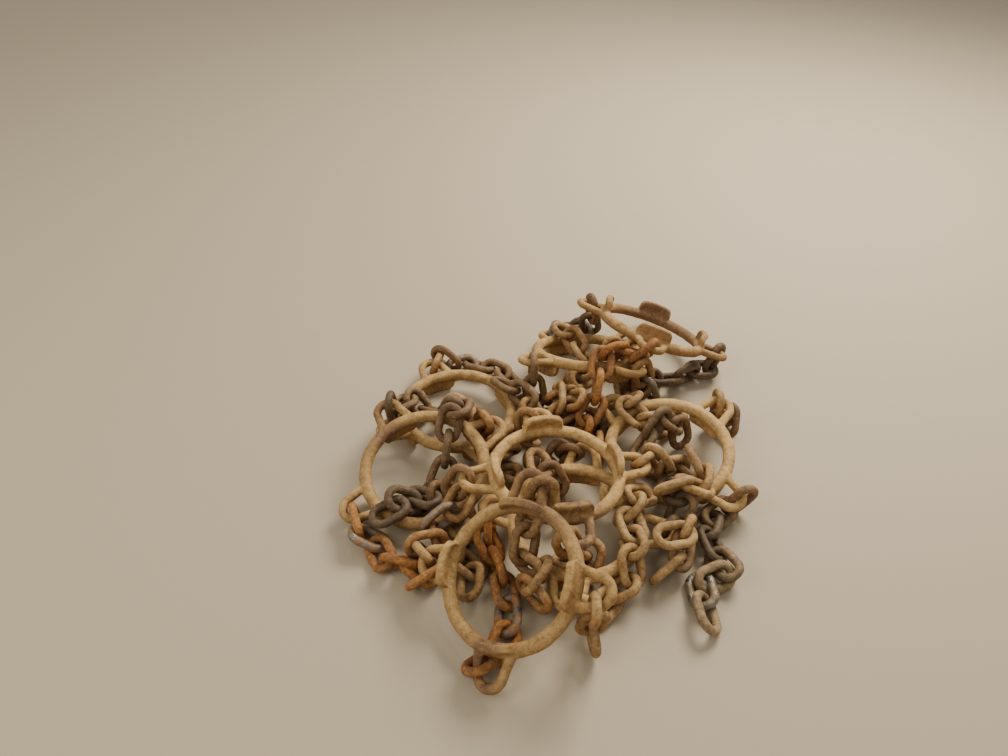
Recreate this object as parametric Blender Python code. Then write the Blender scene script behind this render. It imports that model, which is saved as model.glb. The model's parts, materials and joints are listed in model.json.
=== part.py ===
"""Heap of ring chain on a level floor: forged rings with four lugs, tied by runs of welded links.

The rings lie where RINGS says. Each run of links starts along its route in RUNS and is then laid:
its links are threaded through each other and through the lugs, spread clear of everything else,
lowered, and eased apart until nothing overlaps. All lengths are metres and +Z is up.
"""
import math

import bmesh
import bpy
import numpy as np
from mathutils import Matrix, Vector

# Forged ring: one round bar, bent to a circle
RING_RADIUS = 0.136
RING_BAR = 0.0143
RING_STEPS = 18
RING_SIDES = 8

# Lug: a bar bent around an eye, with both feet on the ring, in the ring's plane
LUG_COUNT = 4
EYE_FROM_MIDDLE = 0.178
EYE_ARC = 0.027
LUG_BAR = 0.0102
LUG_FOOT = 0.036
LUG_SIDES = 6

# Pad: an arched plate that stands on one face of the ring, over each lug
PAD_HEIGHT = 0.044
PAD_SHOULDER = 0.030
PAD_TOE = 0.006
PAD_THICK = 0.018
PAD_TOP_HALF = 0.014
PAD_SHOULDER_HALF = 0.034
PAD_HALF = 0.046

# Welded link: a round bar bent to a long loop
LINK_BAR = 0.0099
LINK_ARC = 0.0225
LINK_HALF = 0.0165
LINK_SIDES = 5

# How the pieces meet
CLEARANCE = 0.0005
BITE = 0.0010
FLOOR_CLEARANCE = 0.0005
HOLE_FILL = 0.012
PAD_REACH = 0.0165
PAD_SPARE = 0.002

# How far a link is turned by a push, set against how far it is moved
TURN_ARM = 0.030

# Laying, first stage: links are threaded, and drawn to their routes for a time
THREAD_ROUNDS = 160
THREAD_STEP = 0.010
THREAD_HOME_ROUNDS = 100
THREAD_HOME = 0.05
LOWEST_START = 0.012

# Second stage: middle lines of strangers are spread, until this far from each other and from rings
SPREAD_ROUNDS = 260
SPREAD_GROWN = 0.7
LINK_SPREAD = 0.044
RING_SPREAD = 0.033
LUG_SPREAD_SHARE = 0.8
LIFT_BARS = 1.6
SPREAD_THREAD_STEP = 0.003
SPREAD_STEP = 0.004
SPREAD_HOME_ACROSS = 0.006
SPREAD_HOME_UP = 0.002

# Third stage: the bars grow to their size while overlaps are parted
GROW_ROUNDS = 160
GROW_FIRST_SIZE = 0.3
GROW_GROWN = 0.8
GROW_STEP = 0.002
GROW_SHARE = 1.2

# Fourth stage: the links sink; last stage: they are only parted and drawn to bear
FALL_ROUNDS = 330
FALL_STEP = 0.0004
FALL_HOME = 0.01
FALL_HOME_STEP = 0.0003
CALM_ROUNDS = 600
UPPER_ROUNDS = 500
UPPER_FALL_STEP = 0.0006
UPPER_CALM_ROUNDS = 200
PULL_STEP = 0.003
PART_STEP = 0.002
PART_SHARE = 1.3

# Threading: share of a wrong turn put right in a round, and the bend that is left alone
SQUARE_TURN = 0.25
STRAIGHTEN = 0.5
BEND_LEFT = 0.3
EYE_STRAIGHTEN = 0.3
EYE_BEND_LEFT = 0.2
EYE_OUTWARD = 0.35

# Nearness is listed anew after so many rounds, for stretches within the margin
SEARCH_EVERY = 8
SEARCH_MARGIN = 0.006
SAME_PLACE = 1e-6

# The point of the floor that becomes the origin
MIDDLE = (0.0122, 0.0873)

# Ring: middle of the circle, tilt in degrees, way it leans, turn about its own axis, pads on top
RINGS = {
    "ring_front": ((-0.099, -0.323, 0.124), 36.0, -141.0, -14.0, True),
    "ring_middle": ((0.004, -0.052, 0.123), 3.5, 45.0, 10.0, True),
    "ring_right": ((0.278, 0.072, 0.068), 10.0, -116.0, 40.0, False),
    "ring_left": ((-0.288, 0.006, 0.075), 16.7, -103.0, 32.0, False),
    "ring_left_back": ((-0.222, 0.238, 0.044), 0.0, 0.0, 25.0, False),
    "ring_back": ((0.120, 0.414, 0.089), 22.0, 85.0, 30.0, False),
    "ring_far_back": ((0.295, 0.484, 0.112), 26.0, 43.0, -12.0, True),
    "ring_under": ((0.045, -0.135, 0.061), 6.5, -90.0, -10.0, False),
}

# Run of links: name, eye it starts in, eye it ends in, number of links, points of its route
RUNS = [
    ("chain_left_outer", ("ring_left", 2), ("ring_front", 2), 6,
     [(-0.430, -0.095, 0.015), (-0.395, -0.170, 0.010), (-0.335, -0.215, 0.010),
      (-0.300, -0.265, 0.010), (-0.265, -0.245, 0.020), (-0.255, -0.240, 0.045)]),
    ("chain_left_inner", ("ring_middle", 2), ("ring_front", 2), 6,
     [(-0.215, -0.085, 0.120), (-0.245, -0.110, 0.100), (-0.262, -0.160, 0.060),
      (-0.265, -0.205, 0.040)]),
    ("chain_over_left_ring", ("ring_left", 1), None, 12,
     [(-0.390, 0.230, 0.070), (-0.360, 0.275, 0.080), (-0.295, 0.265, 0.045),
      (-0.240, 0.190, 0.100), (-0.215, 0.110, 0.145), (-0.235, 0.055, 0.090),
      (-0.255, 0.015, 0.025), (-0.270, -0.030, 0.015), (-0.300, -0.070, 0.040),
      (-0.350, -0.080, 0.045)]),
    ("chain_back_left", ("ring_left_back", 1), None, 6,
     [(-0.275, 0.445, 0.015), (-0.220, 0.445, 0.015), (-0.165, 0.440, 0.015),
      (-0.115, 0.410, 0.030), (-0.080, 0.375, 0.050)]),
    ("chain_left_to_middle", ("ring_left_back", 3), ("ring_middle", 1), 5,
     [(-0.115, 0.130, 0.050), (-0.080, 0.135, 0.075)]),
    ("chain_in_left_back_ring", ("ring_left", 0), None, 5,
     [(-0.155, 0.130, 0.095), (-0.175, 0.215, 0.070), (-0.205, 0.280, 0.030),
      (-0.240, 0.290, 0.015)]),
    ("chain_back_to_middle", ("ring_back", 2), None, 9,
     [(-0.038, 0.300, 0.060), (-0.038, 0.245, 0.030), (0.000, 0.215, 0.030),
      (0.045, 0.235, 0.040), (0.105, 0.220, 0.050), (0.125, 0.155, 0.090),
      (0.150, 0.090, 0.105)]),
    ("chain_over_back_ring", ("ring_far_back", 3), None, 8,
     [(0.240, 0.335, 0.170), (0.185, 0.320, 0.175), (0.145, 0.285, 0.180),
      (0.135, 0.215, 0.170), (0.110, 0.175, 0.130), (0.085, 0.190, 0.070),
      (0.075, 0.215, 0.040)]),
    ("chain_right_back", ("ring_far_back", 0), None, 6,
     [(0.465, 0.455, 0.030), (0.430, 0.415, 0.020), (0.365, 0.375, 0.025),
      (0.310, 0.375, 0.025), (0.255, 0.360, 0.020), (0.210, 0.310, 0.020)]),
    ("chain_far_back", ("ring_far_back", 2), ("ring_back", 1), 5,
     [(0.150, 0.540, 0.110), (0.115, 0.610, 0.060), (0.065, 0.615, 0.040)]),
    ("chain_in_back_ring", ("ring_back", 0), None, 6,
     [(0.240, 0.465, 0.095), (0.190, 0.440, 0.075), (0.140, 0.425, 0.050),
      (0.090, 0.400, 0.030), (0.045, 0.345, 0.030)]),
    ("chain_back_to_right", ("ring_back", 3), None, 6,
     [(0.270, 0.360, 0.090), (0.250, 0.340, 0.070), (0.200, 0.315, 0.060),
      (0.220, 0.285, 0.040), (0.170, 0.280, 0.020)]),
    ("chain_right_corner", ("ring_right", 0), None, 3,
     [(0.450, 0.225, 0.020), (0.435, 0.175, 0.010)]),
    ("chain_in_right_ring", ("ring_right", 1), None, 5,
     [(0.190, 0.215, 0.120), (0.225, 0.175, 0.110), (0.255, 0.165, 0.060),
      (0.290, 0.200, 0.030), (0.345, 0.250, 0.020)]),
    ("chain_middle_to_right", ("ring_middle", 0), None, 4,
     [(0.230, 0.020, 0.110), (0.280, 0.020, 0.100), (0.310, 0.000, 0.080),
      (0.335, -0.015, 0.060)]),
    ("chain_right_of_middle", None, ("ring_under", 3), 8,
     [(0.200, -0.048, 0.110), (0.187, -0.090, 0.105), (0.172, -0.130, 0.095),
      (0.160, -0.180, 0.088), (0.147, -0.225, 0.082), (0.128, -0.268, 0.070),
      (0.095, -0.300, 0.035), (0.060, -0.315, 0.030)]),
    ("chain_right_front_inner", ("ring_under", 0), None, 6,
     [(0.250, -0.150, 0.060), (0.278, -0.110, 0.070), (0.280, -0.065, 0.090),
      (0.285, -0.015, 0.085), (0.280, 0.040, 0.050), (0.245, 0.080, 0.030)]),
    ("chain_right_front_outer", ("ring_right", 3), None, 8,
     [(0.345, -0.085, 0.030), (0.325, -0.125, 0.020), (0.335, -0.175, 0.015),
      (0.355, -0.225, 0.010), (0.310, -0.255, 0.010), (0.290, -0.300, 0.010),
      (0.285, -0.350, 0.010)]),
    ("chain_front_right_lug", ("ring_front", 0), None, 3,
     [(0.055, -0.390, 0.100), (0.060, -0.390, 0.030)]),
    ("chain_front_lug", ("ring_front", 3), ("ring_under", 2), 7,
     [(-0.120, -0.400, 0.015), (-0.105, -0.370, 0.020), (-0.095, -0.310, 0.030),
      (-0.100, -0.265, 0.040), (-0.135, -0.225, 0.030), (-0.165, -0.185, 0.030)]),
    ("chain_in_front_ring", None, ("ring_front", 1), 6,
     [(0.000, -0.310, 0.050), (-0.030, -0.280, 0.070), (-0.045, -0.240, 0.090),
      (-0.065, -0.205, 0.130), (-0.065, -0.190, 0.170)]),
    ("chain_front_ring_left", ("ring_left", 3), None, 3,
     [(-0.200, -0.175, 0.030), (-0.180, -0.230, 0.015), (-0.175, -0.295, 0.010)]),
    ("chain_in_middle_ring", ("ring_under", 1), None, 7,
     [(0.030, 0.065, 0.075), (-0.010, 0.075, 0.070), (-0.055, 0.045, 0.060),
      (-0.075, -0.010, 0.060), (-0.105, 0.040, 0.050), (-0.130, 0.070, 0.020)]),
    ("chain_middle_front_lug", ("ring_middle", 3), None, 4,
     [(0.060, -0.220, 0.090), (0.045, -0.235, 0.060), (0.025, -0.245, 0.030)]),
]

# Runs that are laid on top of the others, in the same way
UPPER_RUNS = [
    ("chain_between_back_rings", None, None, 3,
     [(-0.085, 0.345, 0.140), (-0.060, 0.285, 0.140), (-0.030, 0.225, 0.150), (-0.010, 0.190, 0.150)]),
    ("chain_across_back_ring", None, None, 5,
     [(0.045, 0.561, 0.170), (0.076, 0.490, 0.190), (0.108, 0.425, 0.200),
      (0.108, 0.350, 0.190), (0.080, 0.315, 0.170)]),
    ("chain_into_right_ring", None, None, 4,
     [(0.176, 0.096, 0.140), (0.218, 0.145, 0.130), (0.272, 0.190, 0.110),
      (0.307, 0.200, 0.100), (0.345, 0.180, 0.090)]),
    ("chain_right_upper", None, None, 4,
     [(0.298, 0.015, 0.150), (0.335, -0.020, 0.150), (0.312, -0.063, 0.150),
      (0.260, -0.096, 0.150), (0.219, -0.106, 0.150)]),
    ("chain_right_lower", None, None, 4,
     [(0.187, -0.149, 0.150), (0.236, -0.156, 0.140), (0.271, -0.132, 0.130),
      (0.250, -0.184, 0.120), (0.205, -0.230, 0.110)]),
    ("chain_across_left_ring", None, None, 4,
     [(-0.385, -0.115, 0.130), (-0.333, -0.091, 0.140), (-0.298, -0.072, 0.140),
      (-0.261, -0.064, 0.150), (-0.210, -0.040, 0.160)]),
    ("chain_hanging_in_middle", None, None, 3,
     [(-0.024, 0.022, 0.190), (-0.039, -0.010, 0.180), (0.003, -0.035, 0.170),
      (0.020, -0.080, 0.160)]),
    ("chain_before_back_ring", None, None, 4,
     [(0.020, 0.290, 0.170), (0.040, 0.245, 0.170), (0.080, 0.220, 0.180), (0.130, 0.230, 0.180)]),
]

# Rust colours and how rough and metallic the surface is
RING_RUST = (0.30, 0.205, 0.115)
DUSTY_RUST = (0.27, 0.185, 0.11)
ORANGE_RUST = (0.36, 0.17, 0.065)
DARK_RUST = (0.125, 0.085, 0.065)
RUST_ROUGHNESS = 0.82
RUST_METALLIC = 0.25
SHARP_ANGLE = 50.0
ORANGE_RUNS = ("chain_left_outer", "chain_front_lug", "chain_over_back_ring")
DARK_RUNS = ("chain_right_front_outer", "chain_over_left_ring", "chain_right_back", "chain_far_back",
             "chain_right_front_inner", "chain_into_right_ring", "chain_across_left_ring")


def dot(a, b):
    return a[..., 0] * b[..., 0] + a[..., 1] * b[..., 1] + a[..., 2] * b[..., 2]


def cross(a, b):
    x = a[..., 1] * b[..., 2] - a[..., 2] * b[..., 1]
    y = a[..., 2] * b[..., 0] - a[..., 0] * b[..., 2]
    z = a[..., 0] * b[..., 1] - a[..., 1] * b[..., 0]
    return np.stack([x, y, z], -1)


def length(a):
    return np.sqrt(dot(a, a))


def unit(a):
    return a / np.maximum(length(a), 1e-12)[..., None]


def turned(frame, v):
    """Vectors v turned by frames whose columns are the turned axes."""
    return frame[..., 0] * v[..., 0:1] + frame[..., 1] * v[..., 1:2] + frame[..., 2] * v[..., 2:3]


def local(frame, v):
    """Vectors v as seen in the frames."""
    return np.stack([dot(frame[..., 0], v), dot(frame[..., 1], v), dot(frame[..., 2], v)], -1)


def link_path():
    """The link's centre line as an octagon that touches the true one, counter-clockwise."""
    side = LINK_HALF + LINK_ARC * math.tan(math.pi / 8)
    nose = LINK_ARC * math.tan(math.pi / 8)
    end = LINK_HALF + LINK_ARC
    return np.array([
        (end, -nose, 0), (end, nose, 0), (side, LINK_ARC, 0), (-side, LINK_ARC, 0),
        (-end, nose, 0), (-end, -nose, 0), (-side, -LINK_ARC, 0), (side, -LINK_ARC, 0)])


def ring_path():
    """The ring's centre line as a polygon of the same mean radius, counter-clockwise."""
    turn = 2 * math.pi / RING_STEPS
    corner = RING_RADIUS / math.cos(turn / 2)
    radius = (corner + RING_RADIUS) / 2
    return np.array([(radius * math.cos(i * turn), radius * math.sin(i * turn), 0)
                     for i in range(RING_STEPS)])


def lug_path():
    """The centre line of the lug along +X, from foot to foot."""
    wide = EYE_ARC
    nose = EYE_ARC * math.tan(math.pi / 8)
    return np.array([
        (RING_RADIUS, -LUG_FOOT, 0), (EYE_FROM_MIDDLE + nose, -wide, 0),
        (EYE_FROM_MIDDLE + wide, -nose, 0), (EYE_FROM_MIDDLE + wide, nose, 0),
        (EYE_FROM_MIDDLE + nose, wide, 0), (RING_RADIUS, LUG_FOOT, 0)])


def sections(path, radius, sides, closed):
    """The bar's corners around a flat path: at each point, mitred, and at the middle of each stretch."""
    along = unit(np.roll(path, -1, axis=0) - path)
    inward = np.stack([-along[:, 1], along[:, 0], 0 * along[:, 0]], -1)
    before = np.roll(inward, 1, axis=0)
    if not closed:
        before[0] = inward[0]
        inward[-1] = before[-1]
    half = unit(before + inward)
    mitre = half / dot(half, inward)[:, None]
    angles = np.arange(sides) * 2 * math.pi / sides
    up = np.array([0.0, 0.0, 1.0])
    def around(across):
        ring = np.cos(angles)[None, :, None] * across[:, None, :]
        return radius * (ring + np.sin(angles)[None, :, None] * up)
    return np.round(around(mitre), 9), np.round(around(inward), 9)


def ring_frame(tilt, lean, spin):
    """Columns: way of the first lug, way of the second lug, the ring's axis."""
    t, a, s = math.radians(tilt), math.radians(lean), math.radians(spin)
    axis = Vector((math.sin(t) * math.cos(a), math.sin(t) * math.sin(a), math.cos(t)))
    flat = Vector((1, 0, 0)) - axis[0] * axis
    first = Matrix.Rotation(s, 3, axis) @ flat.normalized()
    second = axis.cross(first)
    return np.round(np.array([first, second, axis], dtype=float).T, 9)


def lug_turn(index):
    """Frame of one lug inside its ring."""
    angle = index * 2 * math.pi / LUG_COUNT
    c, s = round(math.cos(angle), 9), round(math.sin(angle), 9)
    return np.array([(c, -s, 0), (s, c, 0), (0, 0, 1)], dtype=float)


def pad_line():
    """Middle line of a pad as angle around the ring and height over the ring's plane."""
    low, high = PAD_SHOULDER / 2, PAD_HEIGHT + PAD_SPARE - PAD_REACH
    outer, inner = PAD_SHOULDER_HALF, PAD_TOP_HALF + 1.5 * PAD_SPARE
    return [(-outer / RING_RADIUS, low), (-inner / RING_RADIUS, high),
            (inner / RING_RADIUS, high), (outer / RING_RADIUS, low)]


class RingBars:
    """Every stretch of bar of every ring, as the laying sees it."""

    def __init__(self):
        self.start, self.stop, self.corners, self.fill, self.eye, self.core = [], [], [], [], [], []
        self.berth = []
        self.eye_centre, self.eye_out, self.eye_axis, self.eye_number = [], [], [], {}
        for name, (middle, tilt, lean, spin, pads_up) in RINGS.items():
            frame = ring_frame(tilt, lean, spin)
            self.add_path(middle, frame, ring_path(), RING_BAR, RING_SIDES, True, -1)
            for index in range(LUG_COUNT):
                self.add_lug(name, middle, frame, index, 1 if pads_up else -1)
        self.start, self.stop = np.array(self.start), np.array(self.stop)
        self.corners, self.fill = np.array(self.corners), np.array(self.fill)
        self.eye, self.core = np.array(self.eye), np.array(self.core)
        self.berth = np.where(self.eye < 0, 1.0, LUG_SPREAD_SHARE)
        self.eye_centre, self.eye_out = np.array(self.eye_centre), np.array(self.eye_out)
        self.eye_axis = np.array(self.eye_axis)
        self.measure()

    def measure(self):
        self.middle = (self.start + self.stop) / 2
        self.half = length(self.stop - self.start) / 2

    def add_laid_links(self, laying):
        """Takes the links of a laying as they lie, so that the next ones are laid on them."""
        stretches = laying.stretches + 1
        corners = turned(laying.frame[:, None, None, None], laying.corners[None])
        spare = np.repeat(corners[:, :, :, :1], RING_SIDES - LINK_SIDES, axis=3)
        corners = np.concatenate([corners, spare], axis=3)
        core = np.tile(np.arange(stretches) == laying.stretches, laying.count)
        self.start = np.concatenate([self.start, np.round(laying.start.reshape(-1, 3), 9)])
        self.stop = np.concatenate([self.stop, np.round(laying.stop.reshape(-1, 3), 9)])
        self.corners = np.concatenate([self.corners, np.round(corners.reshape(-1, 3, RING_SIDES, 3), 9)])
        self.fill = np.concatenate([self.fill, np.tile(laying.fill, laying.count)])
        self.eye = np.concatenate([self.eye, np.full(len(core), -1)])
        self.core = np.concatenate([self.core, core])
        self.berth = np.concatenate([self.berth, np.where(core, LINK_SPREAD / RING_SPREAD, 0.0)])
        self.measure()

    def add_bar(self, start, stop, corners, fill, eye, core):
        self.start.append(np.round(start, 9))
        self.stop.append(np.round(stop, 9))
        self.corners.append(np.round(corners, 9))
        self.fill.append(fill)
        self.eye.append(eye)
        self.core.append(core)

    def add_path(self, middle, frame, path, radius, sides, closed, eye):
        at_points, at_stretches = sections(path, radius, sides, closed)
        points = middle + turned(frame, path)
        count = len(path) if closed else len(path) - 1
        for i in range(count):
            j = (i + 1) % len(path)
            places = np.stack([at_points[i], at_stretches[i], at_points[j]])
            spare = np.repeat(places[:, :1], RING_SIDES - sides, axis=1)
            corners = turned(frame, np.concatenate([places, spare], axis=1))
            self.add_bar(points[i], points[j], corners, 0.0, eye, False)

    def add_lug(self, name, middle, frame, index, side):
        number = len(self.eye_number)
        self.eye_number[name, index] = number
        lug = np.round(np.stack([turned(frame, lug_turn(index)[:, k]) for k in range(3)], axis=1), 9)
        self.add_path(middle, lug, lug_path(), LUG_BAR, LUG_SIDES, False, number)
        centre = middle + EYE_FROM_MIDDLE * lug[:, 0]
        nothing = np.zeros((3, RING_SIDES, 3))
        self.add_bar(centre - 2 / 3 * HOLE_FILL * lug[:, 0], centre + 1 / 3 * HOLE_FILL * lug[:, 0],
                     nothing, HOLE_FILL, number, True)
        line = [middle + turned(lug, np.array([RING_RADIUS * math.cos(angle), RING_RADIUS * math.sin(angle),
                                               side * height])) for angle, height in pad_line()]
        for a, b in zip(line, line[1:]):
            self.add_bar(a, b, nothing, PAD_REACH, -1, False)
        self.eye_centre.append(np.round(centre, 9))
        self.eye_out.append(lug[:, 0])
        self.eye_axis.append(lug[:, 2])


def point_along(route, distance):
    """The point at a distance along a route of straight stretches."""
    for a, b in zip(route, route[1:]):
        step = length(b - a)
        if distance <= step:
            return a + (b - a) * (distance / step)
        distance = distance - step
    return route[-1]


def first_places(bars, run):
    """Links spaced evenly along the route, each turned a quarter from the one before."""
    name, first_eye, last_eye, count, points = run
    route = [np.array(p) for p in points]
    if first_eye:
        route.insert(0, bars.eye_centre[bars.eye_number[first_eye]])
    if last_eye:
        route.append(bars.eye_centre[bars.eye_number[last_eye]])
    total = sum(float(length(b - a)) for a, b in zip(route, route[1:]))
    ends = [point_along(route, total * i / count) for i in range(count + 1)]
    ways = [unit(b - a) for a, b in zip(ends, ends[1:])]
    level = unit(cross(np.array([0.0, 0.0, 1.0]), ways[0]))
    normal = unit(level + cross(ways[0], level))
    if first_eye:
        eye = bars.eye_number[first_eye]
        normal = cross(bars.eye_axis[eye], bars.eye_out[eye])
    places, frames = [], []
    for i, way in enumerate(ways):
        normal = unit(normal - dot(normal, way) * way)
        if i:
            normal = unit(cross(way, normal))
        places.append((ends[i] + ends[i + 1]) / 2)
        frames.append(np.stack([way, cross(normal, way), normal], axis=1))
    return np.round(np.array(places), 9), np.round(np.array(frames), 9)


def nearest(p1, q1, p2, q2):
    """Nearest points of two stretches, and which of start, middle and stop each one is."""
    d1, d2, r = q1 - p1, q2 - p2, p1 - p2
    a, e, f, c, b = dot(d1, d1), dot(d2, d2), dot(d2, r), dot(d1, r), dot(d1, d2)
    s = np.clip((b * f - c * e) / np.maximum(a * e - b * b, 1e-14), 0, 1)
    t = np.clip((b * s + f) / e, 0, 1)
    s = np.clip((b * t - c) / a, 0, 1)
    t = np.clip((b * s + f) / e, 0, 1)
    return p1 + s[..., None] * d1, p2 + t[..., None] * d2, place_of(s), place_of(t)


def place_of(share):
    return (share > SAME_PLACE).astype(int) + (share > 1 - SAME_PLACE).astype(int)


class Laying:
    """The links as stiff pieces: where each one is, and the pushes and pulls between them.

    Only sums, products and square roots are used while laying, so the result is the same everywhere.
    """

    def __init__(self, bars, runs):
        self.bars = bars
        places, frames, owner, self.first = [], [], [], []
        ties = []
        for number, run in enumerate(runs):
            where, turn = first_places(bars, run)
            self.first.append(len(owner))
            if run[1]:
                ties.append((len(owner), -1, bars.eye_number[run[1]]))
            places.append(where)
            frames.append(turn)
            owner += [number] * len(where)
            if run[2]:
                ties.append((len(owner) - 1, 1, bars.eye_number[run[2]]))
        self.place, self.frame = np.concatenate(places), np.concatenate(frames)
        self.owner, self.count = np.array(owner), len(owner)
        self.home = self.place.copy()
        self.pairs = np.array([i for i in range(1, self.count) if owner[i] == owner[i - 1]])
        self.tied, self.tied_end, self.tied_eye = np.array(ties, dtype=int).reshape(-1, 3).T
        self.own_eye = np.full(self.count, -2)
        self.own_eye[self.tied] = self.tied_eye
        self.make_shape()
        self.refresh()

    def make_shape(self):
        """The link's stretches, with a ninth that fills its hole, and their corners."""
        path = link_path()
        at_points, at_stretches = sections(path, LINK_BAR, LINK_SIDES, True)
        self.path = path
        self.stretches = len(path)
        after = np.roll(at_points, -1, axis=0)
        corners = np.stack([at_points, at_stretches, after], axis=1)
        self.corners = np.concatenate([corners, np.zeros((1, 3, LINK_SIDES, 3))])
        self.fill = np.array([0.0] * self.stretches + [LINK_BAR])
        self.half = np.append(length(np.roll(path, -1, axis=0) - path) / 2, HOLE_FILL)
        self.skin = (path[:, None] + at_points).reshape(-1, 3)
        nose = [0, 1, 2, self.stretches - 1, self.stretches - 2]
        tail = [3, 4, 5, 2, self.stretches - 2]
        self.nose, self.tail = np.array(nose), np.array(tail)
        self.tied_stretches = np.where(self.tied_end[:, None] > 0, self.nose, self.tail)
        starts = [np.nonzero((self.bars.eye == e) & ~self.bars.core)[0][1:4] for e in self.tied_eye]
        self.eye_stretches = np.array(starts, dtype=int).reshape(-1, 3)

    def refresh(self):
        points = self.place[:, None] + turned(self.frame[:, None], self.path[None])
        core = HOLE_FILL * self.frame[:, None, :, 0]
        centre = self.place[:, None]
        self.start = np.concatenate([points, centre - core], axis=1)
        self.stop = np.concatenate([np.roll(points, -1, axis=1), centre + core], axis=1)

    def reach(self, link, stretch, place, way):
        """How far the link's bar reaches from its centre line, along a way."""
        seen = local(self.frame[link], way)
        return dot(self.corners[stretch, place], seen[:, None]).max(axis=1) + self.fill[stretch]

    def ring_reach(self, bar, place, way):
        return dot(self.bars.corners[bar, place], way[:, None]).max(axis=1) + self.bars.fill[bar]

    def search(self):
        """Lists the stretches near enough to touch before the next search."""
        middle = (self.start + self.stop) / 2
        size = self.stretches + 1
        apart = length(self.place[:, None] - self.place[None])
        reach = 2 * (LINK_HALF + LINK_ARC + LINK_BAR)
        i, j = np.nonzero(np.triu(apart < reach + SEARCH_MARGIN, 1))
        beside = (j == i + 1) & (self.owner[i] == self.owner[j])
        a, b = np.repeat(i, size * size), np.repeat(j, size * size)
        beside = np.repeat(beside, size * size)
        sa = np.tile(np.repeat(np.arange(size), size), len(i))
        sb = np.tile(np.arange(size), size * len(i))
        widest = 2 * LINK_BAR + SEARCH_MARGIN
        near = length(middle[a, sa] - middle[b, sb]) < self.half[sa] + self.half[sb] + widest
        keep = near & (~beside | ((sa < self.stretches) & (sb < self.stretches)))
        a, b, sa, sb, beside = a[keep], b[keep], sa[keep], sb[keep], beside[keep]
        x, y, _, _ = nearest(self.start[a, sa], self.stop[a, sa], self.start[b, sb], self.stop[b, sb])
        keep = length(x - y) < widest
        self.near_links = a[keep], b[keep], sa[keep], sb[keep], beside[keep]
        bars = self.bars
        flat, half = middle.reshape(-1, 3), np.tile(self.half, self.count)
        widest = RING_BAR + LINK_BAR + SEARCH_MARGIN
        near = length(flat[:, None] - bars.middle[None]) < half[:, None] + bars.half[None] + widest
        i, bar = np.nonzero(near)
        a, sa = i // size, i % size
        x, y, _, _ = nearest(self.start[a, sa], self.stop[a, sa], bars.start[bar], bars.stop[bar])
        own = self.own_eye[a] == bars.eye[bar]
        keep = (length(x - y) < widest) & ~(own & ((sa == self.stretches) | bars.core[bar]))
        self.near_bars = a[keep], sa[keep], bar[keep]

    def begin(self):
        self.pushes = []

    def ease(self, link, point, way):
        """How freely a link moves when it is pushed at a point."""
        arm = cross(point - self.place[link], way)
        return 1 + dot(arm, arm) / TURN_ARM ** 2

    def push(self, link, point, way, amount):
        move = amount[:, None] * way
        turn = cross(point - self.place[link], move) / TURN_ARM ** 2
        self.pushes.append((link, move, turn, np.ones(len(link))))

    def spin(self, link, turn):
        self.pushes.append((link, 0 * turn, turn, np.zeros(len(link))))

    def finish(self, share, most):
        """Moves and turns each link by the mean of its pushes."""
        link = np.concatenate([p[0] for p in self.pushes])
        move = np.concatenate([p[1] for p in self.pushes])
        turn = np.concatenate([p[2] for p in self.pushes])
        weight = np.bincount(link, np.concatenate([p[3] for p in self.pushes]), self.count) * 1.0
        scale = (share / np.maximum(weight, 1))[:, None]
        move = scale * np.stack([np.bincount(link, move[:, k], self.count) for k in range(3)], axis=1)
        turn = scale * np.stack([np.bincount(link, turn[:, k], self.count) for k in range(3)], axis=1)
        move = move * np.minimum(1, most / np.maximum(length(move), 1e-12))[:, None]
        turn = turn * np.minimum(1, most / TURN_ARM / np.maximum(length(turn), 1e-12))[:, None]
        self.place = self.place + move
        way, side = self.frame[:, :, 0], self.frame[:, :, 1]
        way = unit(way + cross(turn, way))
        side = side + cross(turn, side)
        side = unit(side - dot(side, way)[:, None] * way)
        self.frame = np.stack([way, side, cross(way, side)], axis=2)
        self.refresh()

    def thread(self, share, most):
        """Draws neighbouring links, and links and their eyes, into each other."""
        gap = 2 * LINK_ARC - 2 * LINK_BAR + BITE
        for parity in (0, 1):
            self.begin()
            b = self.pairs[parity::2]
            a = b - 1
            way_a, axis_a = self.frame[a, :, 0], self.frame[a, :, 2]
            way_b, axis_b = self.frame[b, :, 0], self.frame[b, :, 2]
            from_a = self.place[a] + LINK_HALF * way_a
            from_b = self.place[b] - LINK_HALF * way_b
            offset = from_b - from_a
            way = unit(offset)
            amount = (length(offset) - gap) / (self.ease(a, from_a, way) + self.ease(b, from_b, way))
            self.push(a, from_a, way, amount)
            self.push(b, from_b, -way, amount)
            amount = dot(offset, axis_a) / (self.ease(a, from_b, axis_a) + self.ease(b, from_b, axis_a))
            self.push(a, from_b, axis_a, amount)
            self.push(b, from_b, -axis_a, amount)
            amount = -dot(offset, axis_b) / (self.ease(b, from_a, axis_b) + self.ease(a, from_a, axis_b))
            self.push(b, from_a, axis_b, amount)
            self.push(a, from_a, -axis_b, amount)
            square = SQUARE_TURN * dot(axis_a, axis_b)[:, None] * cross(axis_a, axis_b)
            self.spin(a, -square)
            self.spin(b, square)
            bend_a = np.minimum(0, dot(way, way_a) - BEND_LEFT)[:, None]
            bend_b = np.minimum(0, dot(way, way_b) - BEND_LEFT)[:, None]
            self.spin(a, -STRAIGHTEN * bend_a * cross(way_a, way))
            self.spin(b, -STRAIGHTEN * bend_b * cross(way_b, way))
            self.finish(2 * share, most)
        self.begin()
        link, eye = self.tied, self.tied_eye
        centre, out, axis = self.bars.eye_centre[eye], self.bars.eye_out[eye], self.bars.eye_axis[eye]
        way = self.frame[link, :, 0] * self.tied_end[:, None]
        arc = self.place[link] + LINK_HALF * way
        line = unit(arc - centre)
        line = unit(line + np.maximum(0, EYE_OUTWARD - dot(line, out))[:, None] * out)
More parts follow.
